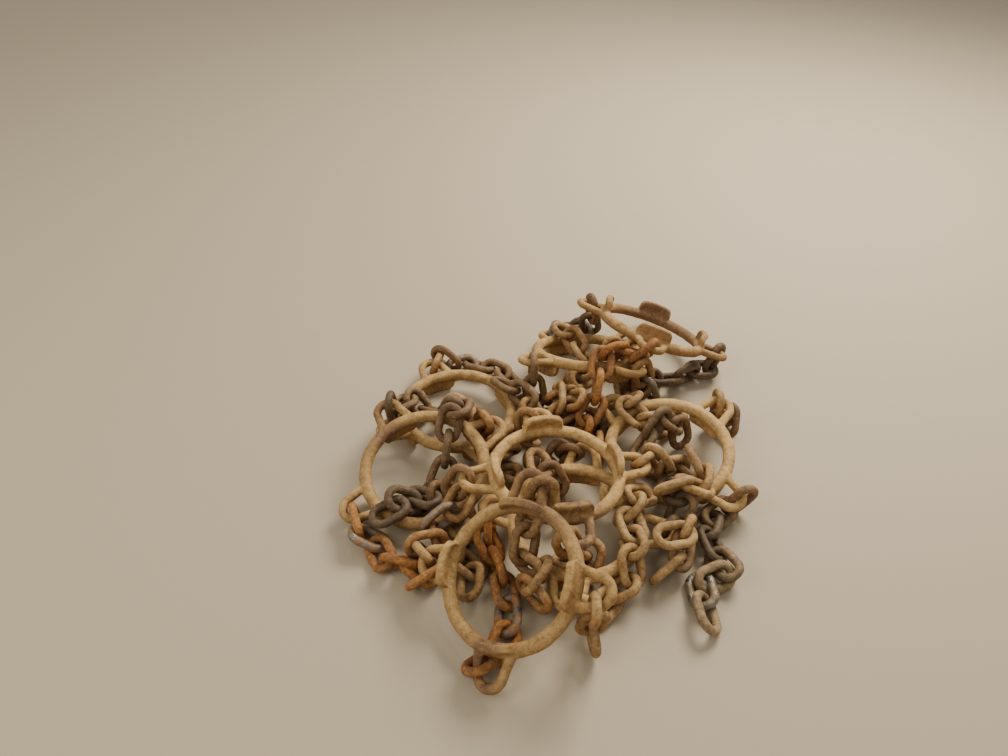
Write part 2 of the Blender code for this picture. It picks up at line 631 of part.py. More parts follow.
        line = unit(line - dot(line, axis)[:, None] * axis)
        hang = EYE_ARC + LINK_ARC - LUG_BAR - LINK_BAR - CLEARANCE
        offset = centre + hang * line - arc
        pull = unit(offset)
        self.push(link, arc, pull, length(offset) / self.ease(link, arc, pull))
        plane = cross(axis, line)
        plane = plane * np.where(dot(plane, self.frame[link, :, 2]) < 0, -1, 1)[:, None]
        self.spin(link, STRAIGHTEN * cross(self.frame[link, :, 2], plane))
        bend = np.maximum(0, dot(way, line) - EYE_BEND_LEFT)[:, None]
        self.spin(link, -EYE_STRAIGHTEN * bend * cross(way, line))
        self.finish(2 * share, most)

    def spread(self, between_links, from_rings, most):
        """Pushes each link's middle line away from the others' and from the rings' bars."""
        self.begin()
        core = self.stretches
        apart = length(self.place[:, None] - self.place[None])
        i, j = np.nonzero(np.triu(apart < 2 * HOLE_FILL + between_links, 1))
        strangers = (j != i + 1) | (self.owner[i] != self.owner[j])
        i, j = i[strangers], j[strangers]
        x, y, _, _ = nearest(self.start[i, core], self.stop[i, core],
                             self.start[j, core], self.stop[j, core])
        short = np.maximum(0, between_links - length(y - x))
        way = unit(y - x)
        hit = short > 0
        i, j, x, y, way, short = i[hit], j[hit], x[hit], y[hit], way[hit], short[hit]
        amount = short / (self.ease(i, x, way) + self.ease(j, y, way))
        self.push(i, x, -way, amount)
        self.push(j, y, way, amount)
        bars = self.bars
        widest = HOLE_FILL + bars.half + from_rings * np.maximum(1, bars.berth)
        near = length(self.place[:, None] - bars.middle[None]) < widest[None]
        i, bar = np.nonzero(near & (self.own_eye[:, None] != bars.eye[None]))
        x, y, _, _ = nearest(self.start[i, core], self.stop[i, core], bars.start[bar], bars.stop[bar])
        short = np.maximum(0, bars.berth[bar] * from_rings - length(y - x))
        way = unit(y - x)
        hit = short > 0
        i, x, way, short = i[hit], x[hit], way[hit], short[hit]
        self.push(i, x, -way, short / self.ease(i, x, way))
        lift = np.maximum(0, LIFT_BARS * LINK_BAR - self.place[:, 2])
        self.place = self.place + np.stack([0 * lift, 0 * lift, lift], axis=1)
        self.finish(1.0, most)

    def part(self, size, share, most):
        """Pushes apart bars, of a share of their size, that overlap, and lifts what is under the floor."""
        self.begin()
        a, b, sa, sb, beside = self.near_links
        x, y, pa, pb = nearest(self.start[a, sa], self.stop[a, sa], self.start[b, sb], self.stop[b, sb])
        way = unit(y - x)
        wanted = self.reach(a, sa, pa, way) + self.reach(b, sb, pb, -way)
        short = size * wanted + np.where(beside, -BITE, CLEARANCE) - length(y - x)
        hit = short > 0
        a, b, x, y, way, short = a[hit], b[hit], x[hit], y[hit], way[hit], short[hit]
        amount = short / (self.ease(a, x, way) + self.ease(b, y, way))
        self.push(a, x, -way, amount)
        self.push(b, y, way, amount)
        a, sa, bar = self.near_bars
        x, y, pa, pb = nearest(self.start[a, sa], self.stop[a, sa],
                               self.bars.start[bar], self.bars.stop[bar])
        way = unit(y - x)
        wanted = self.reach(a, sa, pa, way) + self.ring_reach(bar, pb, -way)
        short = size * wanted + CLEARANCE - length(y - x)
        hit = short > 0
        a, x, way, short = a[hit], x[hit], way[hit], short[hit]
        self.push(a, x, -way, short / self.ease(a, x, way))
        skin = self.place[:, None] + turned(self.frame[:, None], self.skin[None])
        link, corner = np.nonzero(skin[:, :, 2] < FLOOR_CLEARANCE)
        point = skin[link, corner]
        up = np.zeros((len(link), 3))
        up[:, 2] = 1
        self.push(link, point, up, (FLOOR_CLEARANCE - point[:, 2]) / self.ease(link, point, up))
        self.finish(share, most)

    def pull(self, share, most):
        """Draws neighbours that have come apart back until they bear, and so with the eyes."""
        for parity in (0, 1):
            self.begin()
            b = self.pairs[parity::2]
            a = b - 1
            sa, sb = np.repeat(self.nose, len(self.tail)), np.tile(self.tail, len(self.nose))
            x, y, pa, pb = nearest(self.start[a][:, sa], self.stop[a][:, sa],
                                   self.start[b][:, sb], self.stop[b][:, sb])
            best, row = length(y - x).argmin(axis=1), np.arange(len(a))
            x, y, pa, pb = x[row, best], y[row, best], pa[row, best], pb[row, best]
            sa, sb = sa[best], sb[best]
            way = unit(y - x)
            wanted = self.reach(a, sa, pa, way) + self.reach(b, sb, pb, -way) - BITE
            loose = length(y - x) - wanted
            hit = loose > 0
            a, b, x, y, way, loose = a[hit], b[hit], x[hit], y[hit], way[hit], loose[hit]
            amount = loose / (self.ease(a, x, way) + self.ease(b, y, way))
            self.push(a, x, way, amount)
            self.push(b, y, -way, amount)
            self.finish(share, most)
        self.begin()
        link = self.tied
        sa = np.repeat(self.tied_stretches, self.eye_stretches.shape[1], axis=1)
        bar = np.tile(self.eye_stretches, (1, self.tied_stretches.shape[1]))
        column = link[:, None]
        x, y, pa, pb = nearest(self.start[column, sa], self.stop[column, sa],
                               self.bars.start[bar], self.bars.stop[bar])
        best, row = length(y - x).argmin(axis=1), np.arange(len(link))
        x, y, pa, pb = x[row, best], y[row, best], pa[row, best], pb[row, best]
        sa, bar = sa[row, best], bar[row, best]
        way = unit(y - x)
        wanted = self.reach(link, sa, pa, way) + self.ring_reach(bar, pb, -way) + CLEARANCE
        loose = length(y - x) - wanted
        hit = loose > 0
        link, x, way, loose = link[hit], x[hit], way[hit], loose[hit]
        self.push(link, x, way, loose / self.ease(link, x, way))
        self.finish(share, most)

    def home_by(self, share_across, share_up, most):
        """Moves each link a little towards its route."""
        share = np.array([share_across, share_across, share_up])
        self.place = self.place + np.clip(share * (self.home - self.place), -most, most)
        self.refresh()


def start_links(laying):
    """Threads the links along their routes and spreads their middle lines."""
    for turn in range(THREAD_ROUNDS):
        laying.thread(1.0, THREAD_STEP)
        laying.home_by(THREAD_HOME if turn < THREAD_HOME_ROUNDS else 0.0, 0.0, 1.0)
        laying.place[:, 2] = np.maximum(laying.place[:, 2], LOWEST_START)
        laying.refresh()
    for turn in range(SPREAD_ROUNDS):
        size = min(1.0, turn / (SPREAD_GROWN * SPREAD_ROUNDS))
        laying.thread(0.5, SPREAD_THREAD_STEP)
        laying.spread(size * LINK_SPREAD, size * RING_SPREAD, SPREAD_STEP)
        laying.home_by(SPREAD_HOME_ACROSS, SPREAD_HOME_UP, 1.0)
    for turn in range(GROW_ROUNDS):
        if turn % SEARCH_EVERY == 0:
            laying.search()
        grown = min(1.0, turn / (GROW_GROWN * GROW_ROUNDS))
        laying.thread(0.5, GROW_STEP)
        laying.spread(LINK_SPREAD, RING_SPREAD, GROW_STEP)
        laying.part(GROW_FIRST_SIZE + (1 - GROW_FIRST_SIZE) * grown, GROW_SHARE, GROW_STEP)


def sink_links(laying, steps, home):
    """Lowers the links by each step in turn, and parts them and draws them to bear each time."""
    for turn, step in enumerate(steps):
        if turn % SEARCH_EVERY == 0:
            laying.search()
        if step:
            laying.place = laying.place - np.array([0, 0, step])
            laying.home_by(home, 0.0, FALL_HOME_STEP)
        laying.pull(1.0, PULL_STEP)
        laying.part(1.0, PART_SHARE, PART_STEP)
    laying.place, laying.frame = np.round(laying.place, 5), np.round(laying.frame, 6)
    laying.refresh()
    stops = laying.first[1:] + [laying.count]
    return [(laying.place[a:b], laying.frame[a:b]) for a, b in zip(laying.first, stops)]


def lay_links():
    """Lays every run and returns the places and the frames of its links, run by run."""
    bars = RingBars()
    lower = Laying(bars, RUNS)
    start_links(lower)
    laid = sink_links(lower, [FALL_STEP] * FALL_ROUNDS + [0.0] * CALM_ROUNDS, FALL_HOME)
    bars.add_laid_links(lower)
    upper = Laying(bars, UPPER_RUNS)
    start_links(upper)
    fading = [UPPER_FALL_STEP * (1 - turn / UPPER_ROUNDS) for turn in range(UPPER_ROUNDS)]
    return laid + sink_links(upper, fading + [0.0] * UPPER_CALM_ROUNDS, 0.0)


def add_tube(bm, rings, closed):
    """A bar through rings of corners, with a flat end at each open end."""
    rows = [[bm.verts.new(corner) for corner in ring] for ring in rings]
    sides = len(rows[0])
    pairs = list(zip(rows, rows[1:] + rows[:1])) if closed else list(zip(rows, rows[1:]))
    for row, after in pairs:
        for k in range(sides):
            n = (k + 1) % sides
            bm.faces.new((row[k], after[k], after[n], row[n]))
    if not closed:
        bm.faces.new(rows[0])
        bm.faces.new(rows[-1][::-1])


def add_pad(bm, turn):
    """An arched plate that follows the ring, as columns from its foot to its outline."""
    outline = [(-PAD_HALF, PAD_TOE), (-PAD_SHOULDER_HALF, PAD_SHOULDER), (-PAD_TOP_HALF, PAD_HEIGHT),
               (PAD_TOP_HALF, PAD_HEIGHT), (PAD_SHOULDER_HALF, PAD_SHOULDER), (PAD_HALF, PAD_TOE)]
    rings = []
    for arc, height in outline:
        angle = turn + arc / RING_RADIUS
        out = Vector((math.cos(angle), math.sin(angle), 0))
        up = Vector((0, 0, 1))
        inner, outer = (RING_RADIUS - PAD_THICK / 2) * out, (RING_RADIUS + PAD_THICK / 2) * out
        rings.append([inner, inner + height * up, outer + height * up, outer])
    add_tube(bm, rings, False)


def mesh_from(bm, name):
    bmesh.ops.recalc_face_normals(bm, faces=bm.faces)
    mesh = bpy.data.meshes.new(name)
    bm.to_mesh(mesh)
    bm.free()
    return mesh


def united(name, first, second):
    """One closed mesh out of two meshes that overlap."""
    body = bpy.data.objects.new(name, first)
    tool = bpy.data.objects.new(name + "_tool", second)
    bpy.context.scene.collection.objects.link(body)
    bpy.context.scene.collection.objects.link(tool)
    union = body.modifiers.new("union", "BOOLEAN")
    union.operation = "UNION"
    union.solver = "EXACT"
    union.object = tool
    depsgraph = bpy.context.evaluated_depsgraph_get()
    mesh = bpy.data.meshes.new_from_object(body.evaluated_get(depsgraph))
    mesh.name = name
    bpy.data.objects.remove(body)
    bpy.data.objects.remove(tool)
    return mesh


def ring_mesh():
    """The ring, its lugs and its pads, made as one forging with the pads on its upper face."""
    circle = bmesh.new()
    path = ring_path()
    add_tube(circle, path[:, None] + sections(path, RING_BAR, RING_SIDES, True)[0], True)
    lugs = bmesh.new()
    pads = bmesh.new()
    path = lug_path()
    corners = path[:, None] + sections(path, LUG_BAR, LUG_SIDES, False)[0]
    for index in range(LUG_COUNT):
        add_tube(lugs, turned(lug_turn(index), corners), False)
        add_pad(pads, index * 2 * math.pi / LUG_COUNT)
    mesh = united("ring", mesh_from(circle, "circle"), mesh_from(lugs, "lugs"))
    return united("ring", mesh, mesh_from(pads, "pads"))


def run_mesh(name, places, frames):
    """All links of a run, fused where they bear, about the place of the first one."""
    path = link_path()
    corners = path[:, None] + sections(path, LINK_BAR, LINK_SIDES, True)[0]
    halves = []
    for parity in (0, 1):
        bm = bmesh.new()
        for place, frame in zip(places[parity::2], frames[parity::2]):
            add_tube(bm, place - places[0] + turned(frame, corners), True)
        halves.append(mesh_from(bm, name))
    return united(name, halves[0], halves[1])


def smooth(mesh):
    mesh.shade_smooth()
    mesh.set_sharp_from_angle(angle=math.radians(SHARP_ANGLE))


def rust(name, colour):
    material = bpy.data.materials.new(name)
    material.use_nodes = True
    shader = material.node_tree.nodes["Principled BSDF"]
    shader.inputs["Base Color"].default_value = (*colour, 1)
    shader.inputs["Roughness"].default_value = RUST_ROUGHNESS
    shader.inputs["Metallic"].default_value = RUST_METALLIC
    return material


def place_object(name, mesh, matrix, material):
    thing = bpy.data.objects.new(name, mesh)
    bpy.context.scene.collection.objects.link(thing)
    thing.matrix_world = matrix
    if not mesh.materials:
        mesh.materials.append(None)
    thing.material_slots[0].link = "OBJECT"
    thing.material_slots[0].material = material
    return thing


def on_floor(place):
    return Matrix.Translation((place[0] - MIDDLE[0], place[1] - MIDDLE[1], place[2]))


def add_rings():
    mesh = ring_mesh()
    smooth(mesh)
    for name, (middle, tilt, lean, spin, pads_up) in RINGS.items():
        turn = Matrix(ring_frame(tilt, lean, spin).tolist()).to_4x4()
        over = Matrix.Rotation(0 if pads_up else math.pi, 4, "X")
        place_object(name, mesh, on_floor(middle) @ turn @ over, rust(name + "_rust", RING_RUST))


def add_runs():
    for run, (places, frames) in zip(RUNS + UPPER_RUNS, lay_links()):
        name = run[0]
        colour = ORANGE_RUST if name in ORANGE_RUNS else DARK_RUST if name in DARK_RUNS else DUSTY_RUST
        mesh = run_mesh(name, places, frames)
        smooth(mesh)
        place_object(name, mesh, on_floor(places[0].tolist()), rust(name + "_rust", colour))


def build():
    for thing in list(bpy.data.objects):
        bpy.data.objects.remove(thing)
    add_rings()
    add_runs()


build()
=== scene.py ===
"""Looks of the heap of ring chain: rusty forged rings with lugs and pads, tied by welded links.

The links are laid as they are in the solids, from the same sizes, routes and rounds of laying. Each
run of links and each ring then gets a finished surface over its solid. Lengths are metres, +Z is up.
"""
import json
import math

import bmesh
import bpy
import numpy as np
from mathutils import Matrix, Vector

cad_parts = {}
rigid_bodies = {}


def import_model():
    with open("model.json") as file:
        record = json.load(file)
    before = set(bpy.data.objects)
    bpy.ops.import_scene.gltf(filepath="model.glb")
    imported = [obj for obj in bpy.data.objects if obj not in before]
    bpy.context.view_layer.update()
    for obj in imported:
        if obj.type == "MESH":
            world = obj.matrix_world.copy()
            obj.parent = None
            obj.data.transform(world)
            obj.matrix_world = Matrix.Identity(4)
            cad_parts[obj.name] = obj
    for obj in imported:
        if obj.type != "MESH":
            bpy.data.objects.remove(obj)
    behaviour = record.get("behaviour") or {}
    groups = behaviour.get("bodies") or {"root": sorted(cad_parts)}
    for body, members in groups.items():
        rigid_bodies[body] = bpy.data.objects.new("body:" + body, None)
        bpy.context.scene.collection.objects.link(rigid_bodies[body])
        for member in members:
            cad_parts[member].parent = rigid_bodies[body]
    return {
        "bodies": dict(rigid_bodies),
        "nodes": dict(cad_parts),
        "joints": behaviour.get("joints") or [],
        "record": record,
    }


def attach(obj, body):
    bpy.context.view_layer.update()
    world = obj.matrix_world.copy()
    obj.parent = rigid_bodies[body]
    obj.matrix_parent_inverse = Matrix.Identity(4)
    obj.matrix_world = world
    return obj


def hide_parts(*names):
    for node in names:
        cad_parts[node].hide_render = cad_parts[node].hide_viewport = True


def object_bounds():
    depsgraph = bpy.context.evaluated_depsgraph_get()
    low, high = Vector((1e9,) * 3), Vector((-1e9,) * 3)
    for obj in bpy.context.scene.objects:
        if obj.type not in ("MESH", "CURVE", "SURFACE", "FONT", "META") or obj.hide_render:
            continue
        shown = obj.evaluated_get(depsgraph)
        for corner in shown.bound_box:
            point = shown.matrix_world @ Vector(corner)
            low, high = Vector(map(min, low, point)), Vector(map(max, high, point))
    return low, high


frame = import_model()
SOLID_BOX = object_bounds()

# Forged ring: one round bar, bent to a circle
RING_RADIUS = 0.136
RING_BAR = 0.0143
RING_STEPS = 18
RING_SIDES = 8

# Lug: a bar bent around an eye, with both feet on the ring, in the ring's plane
LUG_COUNT = 4
EYE_FROM_MIDDLE = 0.178
EYE_ARC = 0.027
LUG_BAR = 0.0102
LUG_FOOT = 0.036
LUG_SIDES = 6

# Pad: an arched plate that stands on one face of the ring, over each lug
PAD_HEIGHT = 0.044
PAD_SHOULDER = 0.030
PAD_TOE = 0.006
PAD_THICK = 0.018
PAD_TOP_HALF = 0.014
PAD_SHOULDER_HALF = 0.034
PAD_HALF = 0.046

# Welded link: a round bar bent to a long loop
LINK_BAR = 0.0099
LINK_ARC = 0.0225
LINK_HALF = 0.0165
LINK_SIDES = 5

# How the pieces meet
CLEARANCE = 0.0005
BITE = 0.0010
FLOOR_CLEARANCE = 0.0005
HOLE_FILL = 0.012
PAD_REACH = 0.0165
PAD_SPARE = 0.002

# How far a link is turned by a push, set against how far it is moved
TURN_ARM = 0.030

# Laying, first stage: links are threaded, and drawn to their routes for a time; in later stages they
# are threaded by a smaller share; the way home isn't cut short before the last stages
THREAD_ROUNDS = 160
LATER_THREADING = 0.5
HOME_MOST = 1.0
THREAD_STEP = 0.010
THREAD_HOME_ROUNDS = 100
THREAD_HOME = 0.05
LOWEST_START = 0.012

# Second stage: middle lines of strangers are spread, until this far from each other and from rings
SPREAD_ROUNDS = 260
SPREAD_GROWN = 0.7
LINK_SPREAD = 0.044
RING_SPREAD = 0.033
LUG_SPREAD_SHARE = 0.8
LIFT_BARS = 1.6
SPREAD_THREAD_STEP = 0.003
SPREAD_STEP = 0.004
SPREAD_HOME_ACROSS = 0.006
SPREAD_HOME_UP = 0.002

# Third stage: the bars grow to their size while overlaps are parted
GROW_ROUNDS = 160
GROW_FIRST_SIZE = 0.3
GROW_GROWN = 0.8
GROW_STEP = 0.002
GROW_SHARE = 1.2

# Fourth stage: the links sink; last stage: they are only parted and drawn to bear
FALL_ROUNDS = 330
FALL_STEP = 0.0004
FALL_HOME = 0.01
FALL_HOME_STEP = 0.0003
CALM_ROUNDS = 600
UPPER_ROUNDS = 500
UPPER_FALL_STEP = 0.0006
UPPER_CALM_ROUNDS = 200
PULL_STEP = 0.003
PART_STEP = 0.002
PART_SHARE = 1.3

# Threading: share of a wrong turn put right in a round, and the bend that is left alone
SQUARE_TURN = 0.25
STRAIGHTEN = 0.5
BEND_LEFT = 0.3
EYE_STRAIGHTEN = 0.3
EYE_BEND_LEFT = 0.2
EYE_OUTWARD = 0.35

# Nearness is listed anew after so many rounds, for stretches within the margin
SEARCH_EVERY = 8
SEARCH_MARGIN = 0.006

# What counts as a stretch's end, as no length and as parallel stretches
SAME_PLACE = 1e-6
TINY = 1e-12
PARALLEL = 1e-14

# Digits that are kept of what goes into the laying, and of the places and frames that come out
DIGITS = 9
PLACE_DIGITS = 5
FRAME_DIGITS = 6

# The point of the floor that becomes the origin
ORIGIN = np.array([0.0122, 0.0873, 0.0])

# Ring: middle of the circle, tilt in degrees, way it leans, turn about its own axis, pads on top
RINGS = {
    "ring_front": ((-0.099, -0.323, 0.124), 36.0, -141.0, -14.0, True),
    "ring_middle": ((0.004, -0.052, 0.123), 3.5, 45.0, 10.0, True),
    "ring_right": ((0.278, 0.072, 0.068), 10.0, -116.0, 40.0, False),
    "ring_left": ((-0.288, 0.006, 0.075), 16.7, -103.0, 32.0, False),
    "ring_left_back": ((-0.222, 0.238, 0.044), 0.0, 0.0, 25.0, False),
    "ring_back": ((0.120, 0.414, 0.089), 22.0, 85.0, 30.0, False),
    "ring_far_back": ((0.295, 0.484, 0.112), 26.0, 43.0, -12.0, True),
    "ring_under": ((0.045, -0.135, 0.061), 6.5, -90.0, -10.0, False),
}

# Run of links: name, eye it starts in, eye it ends in, number of links, points of its route
RUNS = [
    ("chain_left_outer", ("ring_left", 2), ("ring_front", 2), 6,
     [(-0.430, -0.095, 0.015), (-0.395, -0.170, 0.010), (-0.335, -0.215, 0.010),
      (-0.300, -0.265, 0.010), (-0.265, -0.245, 0.020), (-0.255, -0.240, 0.045)]),
    ("chain_left_inner", ("ring_middle", 2), ("ring_front", 2), 6,
     [(-0.215, -0.085, 0.120), (-0.245, -0.110, 0.100), (-0.262, -0.160, 0.060),
      (-0.265, -0.205, 0.040)]),
    ("chain_over_left_ring", ("ring_left", 1), None, 12,
     [(-0.390, 0.230, 0.070), (-0.360, 0.275, 0.080), (-0.295, 0.265, 0.045),
      (-0.240, 0.190, 0.100), (-0.215, 0.110, 0.145), (-0.235, 0.055, 0.090),
      (-0.255, 0.015, 0.025), (-0.270, -0.030, 0.015), (-0.300, -0.070, 0.040),
      (-0.350, -0.080, 0.045)]),
    ("chain_back_left", ("ring_left_back", 1), None, 6,
     [(-0.275, 0.445, 0.015), (-0.220, 0.445, 0.015), (-0.165, 0.440, 0.015),
      (-0.115, 0.410, 0.030), (-0.080, 0.375, 0.050)]),
    ("chain_left_to_middle", ("ring_left_back", 3), ("ring_middle", 1), 5,
     [(-0.115, 0.130, 0.050), (-0.080, 0.135, 0.075)]),
    ("chain_in_left_back_ring", ("ring_left", 0), None, 5,
     [(-0.155, 0.130, 0.095), (-0.175, 0.215, 0.070), (-0.205, 0.280, 0.030),
      (-0.240, 0.290, 0.015)]),
    ("chain_back_to_middle", ("ring_back", 2), None, 9,
     [(-0.038, 0.300, 0.060), (-0.038, 0.245, 0.030), (0.000, 0.215, 0.030),
      (0.045, 0.235, 0.040), (0.105, 0.220, 0.050), (0.125, 0.155, 0.090),
      (0.150, 0.090, 0.105)]),
    ("chain_over_back_ring", ("ring_far_back", 3), None, 8,
     [(0.240, 0.335, 0.170), (0.185, 0.320, 0.175), (0.145, 0.285, 0.180),
      (0.135, 0.215, 0.170), (0.110, 0.175, 0.130), (0.085, 0.190, 0.070),
      (0.075, 0.215, 0.040)]),
    ("chain_right_back", ("ring_far_back", 0), None, 6,
     [(0.465, 0.455, 0.030), (0.430, 0.415, 0.020), (0.365, 0.375, 0.025),
      (0.310, 0.375, 0.025), (0.255, 0.360, 0.020), (0.210, 0.310, 0.020)]),
    ("chain_far_back", ("ring_far_back", 2), ("ring_back", 1), 5,
     [(0.150, 0.540, 0.110), (0.115, 0.610, 0.060), (0.065, 0.615, 0.040)]),
    ("chain_in_back_ring", ("ring_back", 0), None, 6,
     [(0.240, 0.465, 0.095), (0.190, 0.440, 0.075), (0.140, 0.425, 0.050),
      (0.090, 0.400, 0.030), (0.045, 0.345, 0.030)]),
    ("chain_back_to_right", ("ring_back", 3), None, 6,
     [(0.270, 0.360, 0.090), (0.250, 0.340, 0.070), (0.200, 0.315, 0.060),
      (0.220, 0.285, 0.040), (0.170, 0.280, 0.020)]),
    ("chain_right_corner", ("ring_right", 0), None, 3,
     [(0.450, 0.225, 0.020), (0.435, 0.175, 0.010)]),
    ("chain_in_right_ring", ("ring_right", 1), None, 5,
     [(0.190, 0.215, 0.120), (0.225, 0.175, 0.110), (0.255, 0.165, 0.060),
      (0.290, 0.200, 0.030), (0.345, 0.250, 0.020)]),
    ("chain_middle_to_right", ("ring_middle", 0), None, 4,
     [(0.230, 0.020, 0.110), (0.280, 0.020, 0.100), (0.310, 0.000, 0.080),
      (0.335, -0.015, 0.060)]),
    ("chain_right_of_middle", None, ("ring_under", 3), 8,
     [(0.200, -0.048, 0.110), (0.187, -0.090, 0.105), (0.172, -0.130, 0.095),
      (0.160, -0.180, 0.088), (0.147, -0.225, 0.082), (0.128, -0.268, 0.070),
      (0.095, -0.300, 0.035), (0.060, -0.315, 0.030)]),
    ("chain_right_front_inner", ("ring_under", 0), None, 6,
     [(0.250, -0.150, 0.060), (0.278, -0.110, 0.070), (0.280, -0.065, 0.090),
      (0.285, -0.015, 0.085), (0.280, 0.040, 0.050), (0.245, 0.080, 0.030)]),
    ("chain_right_front_outer", ("ring_right", 3), None, 8,
     [(0.345, -0.085, 0.030), (0.325, -0.125, 0.020), (0.335, -0.175, 0.015),
      (0.355, -0.225, 0.010), (0.310, -0.255, 0.010), (0.290, -0.300, 0.010),
      (0.285, -0.350, 0.010)]),
    ("chain_front_right_lug", ("ring_front", 0), None, 3,
     [(0.055, -0.390, 0.100), (0.060, -0.390, 0.030)]),
    ("chain_front_lug", ("ring_front", 3), ("ring_under", 2), 7,
     [(-0.120, -0.400, 0.015), (-0.105, -0.370, 0.020), (-0.095, -0.310, 0.030),
      (-0.100, -0.265, 0.040), (-0.135, -0.225, 0.030), (-0.165, -0.185, 0.030)]),
    ("chain_in_front_ring", None, ("ring_front", 1), 6,
     [(0.000, -0.310, 0.050), (-0.030, -0.280, 0.070), (-0.045, -0.240, 0.090),
      (-0.065, -0.205, 0.130), (-0.065, -0.190, 0.170)]),
    ("chain_front_ring_left", ("ring_left", 3), None, 3,
     [(-0.200, -0.175, 0.030), (-0.180, -0.230, 0.015), (-0.175, -0.295, 0.010)]),
    ("chain_in_middle_ring", ("ring_under", 1), None, 7,
     [(0.030, 0.065, 0.075), (-0.010, 0.075, 0.070), (-0.055, 0.045, 0.060),
      (-0.075, -0.010, 0.060), (-0.105, 0.040, 0.050), (-0.130, 0.070, 0.020)]),
    ("chain_middle_front_lug", ("ring_middle", 3), None, 4,
     [(0.060, -0.220, 0.090), (0.045, -0.235, 0.060), (0.025, -0.245, 0.030)]),
]

# Runs that are laid on top of the others, in the same way
UPPER_RUNS = [
    ("chain_between_back_rings", None, None, 3,
     [(-0.085, 0.345, 0.140), (-0.060, 0.285, 0.140), (-0.030, 0.225, 0.150), (-0.010, 0.190, 0.150)]),
    ("chain_across_back_ring", None, None, 5,
     [(0.045, 0.561, 0.170), (0.076, 0.490, 0.190), (0.108, 0.425, 0.200),
      (0.108, 0.350, 0.190), (0.080, 0.315, 0.170)]),
    ("chain_into_right_ring", None, None, 4,
     [(0.176, 0.096, 0.140), (0.218, 0.145, 0.130), (0.272, 0.190, 0.110),
      (0.307, 0.200, 0.100), (0.345, 0.180, 0.090)]),
    ("chain_right_upper", None, None, 4,
     [(0.298, 0.015, 0.150), (0.335, -0.020, 0.150), (0.312, -0.063, 0.150),
      (0.260, -0.096, 0.150), (0.219, -0.106, 0.150)]),
    ("chain_right_lower", None, None, 4,
     [(0.187, -0.149, 0.150), (0.236, -0.156, 0.140), (0.271, -0.132, 0.130),
      (0.250, -0.184, 0.120), (0.205, -0.230, 0.110)]),
    ("chain_across_left_ring", None, None, 4,
     [(-0.385, -0.115, 0.130), (-0.333, -0.091, 0.140), (-0.298, -0.072, 0.140),
      (-0.261, -0.064, 0.150), (-0.210, -0.040, 0.160)]),
    ("chain_hanging_in_middle", None, None, 3,
     [(-0.024, 0.022, 0.190), (-0.039, -0.010, 0.180), (0.003, -0.035, 0.170),
      (0.020, -0.080, 0.160)]),
    ("chain_before_back_ring", None, None, 4,
     [(0.020, 0.290, 0.170), (0.040, 0.245, 0.170), (0.080, 0.220, 0.180), (0.130, 0.230, 0.180)]),
]

# Runs of links with fresh orange rust, and with dark rust
ORANGE_RUNS = ("chain_left_outer", "chain_front_lug", "chain_over_back_ring")
DARK_RUNS = ("chain_right_front_outer", "chain_over_left_ring", "chain_right_back", "chain_far_back",
             "chain_right_front_inner", "chain_into_right_ring", "chain_across_left_ring")

# Finished link: stations along its middle line, sides around its bar, radius of the bar, swelling
# at the weld, hollow worn where links bear, and unevenness of the rusted skin
LINK_STRAIGHT_STATIONS = 7
LINK_ARC_STATIONS = 15
LINK_SKIN_SIDES = 16
LINK_SKIN = 0.0094
WELD_SWELL = 0.0006
WELD_LENGTH = 0.004
WORN_HOLLOW = 0.0007
WORN_LENGTH = 0.009
LINK_ROUGH = 0.00022

# Finished ring: stations, sides and radius of the round bar and of the lug; stations, sides and form
# of the pad, whose cap starts and is full at shares of its height; unevenness of the skin
RING_SKIN_STATIONS = 120
RING_SKIN_SIDES = 24
RING_SKIN = 0.0140
LUG_SKIN_STATIONS = 48
LUG_SKIN_SIDES = 18
LUG_SKIN = 0.0098
PAD_SKIN_STATIONS = 44
PAD_SKIN_SIDES = 40
PAD_SQUARENESS = 0.30
PAD_FULLNESS = 4.5
PAD_WAIST = 0.66
PAD_CAP_START = 0.66
PAD_CAP_FULL = 0.84
PAD_SKIN_INSET = 0.0004
RING_ROUGH = 0.00035

# Growing ring, lugs and pads together: size of a cell, and how often and how far it is smoothed
FORGING_VOXEL = 0.0021
FORGING_SMOOTHING = 4
FORGING_EASE = 0.5

# Unevenness: how many waves are added up, their lengths, and the power of its length that a wave's
# height goes with
WAVE_COUNT = 14
LONGEST_WAVE = 0.060
SHORTEST_WAVE = 0.007
WAVE_FALL = 0.5
RANDOM_SEED = 7

# Crowdedness, which sets the painted shade that darkens crowded parts of the heap: size of a cell,
# rounds of smoothing, how far above a point it is looked up, weight of a ring's station, the share of
# points that are less than fully crowded, and cells left at the edge
CROWD_CELL = 0.012
CROWD_ROUNDS = 4
CROWD_ABOVE = 0.012
CROWD_RING_WEIGHT = 1.2
CROWD_FULL = 0.97
CROWD_EDGE = 1.001

# Share of links that are rubbed bright, share that are dark, the same in runs with many dark links,
# how softly that share is cut off, how many pale links end a run, and how pale whole runs are
POLISHED_SHARE = 0.05
DARK_SHARE = 0.16
MANY_DARK_SHARE = 0.6
DARK_CUT = 0.1
MANY_DARK_RUNS = ("chain_back_left", "chain_back_to_middle", "chain_between_back_rings",
                  "chain_in_middle_ring", "chain_hanging_in_middle", "chain_right_corner")
PALE_ENDS = {"chain_right_front_outer": 3}
PALE_RUNS = {"chain_right_of_middle": 0.45, "chain_middle_to_right": 0.4, "chain_right_upper": 0.35,
             "chain_right_lower": 0.4, "chain_left_to_middle": 0.25, "chain_in_right_ring": 0.25,
             "chain_front_right_lug": 0.3}

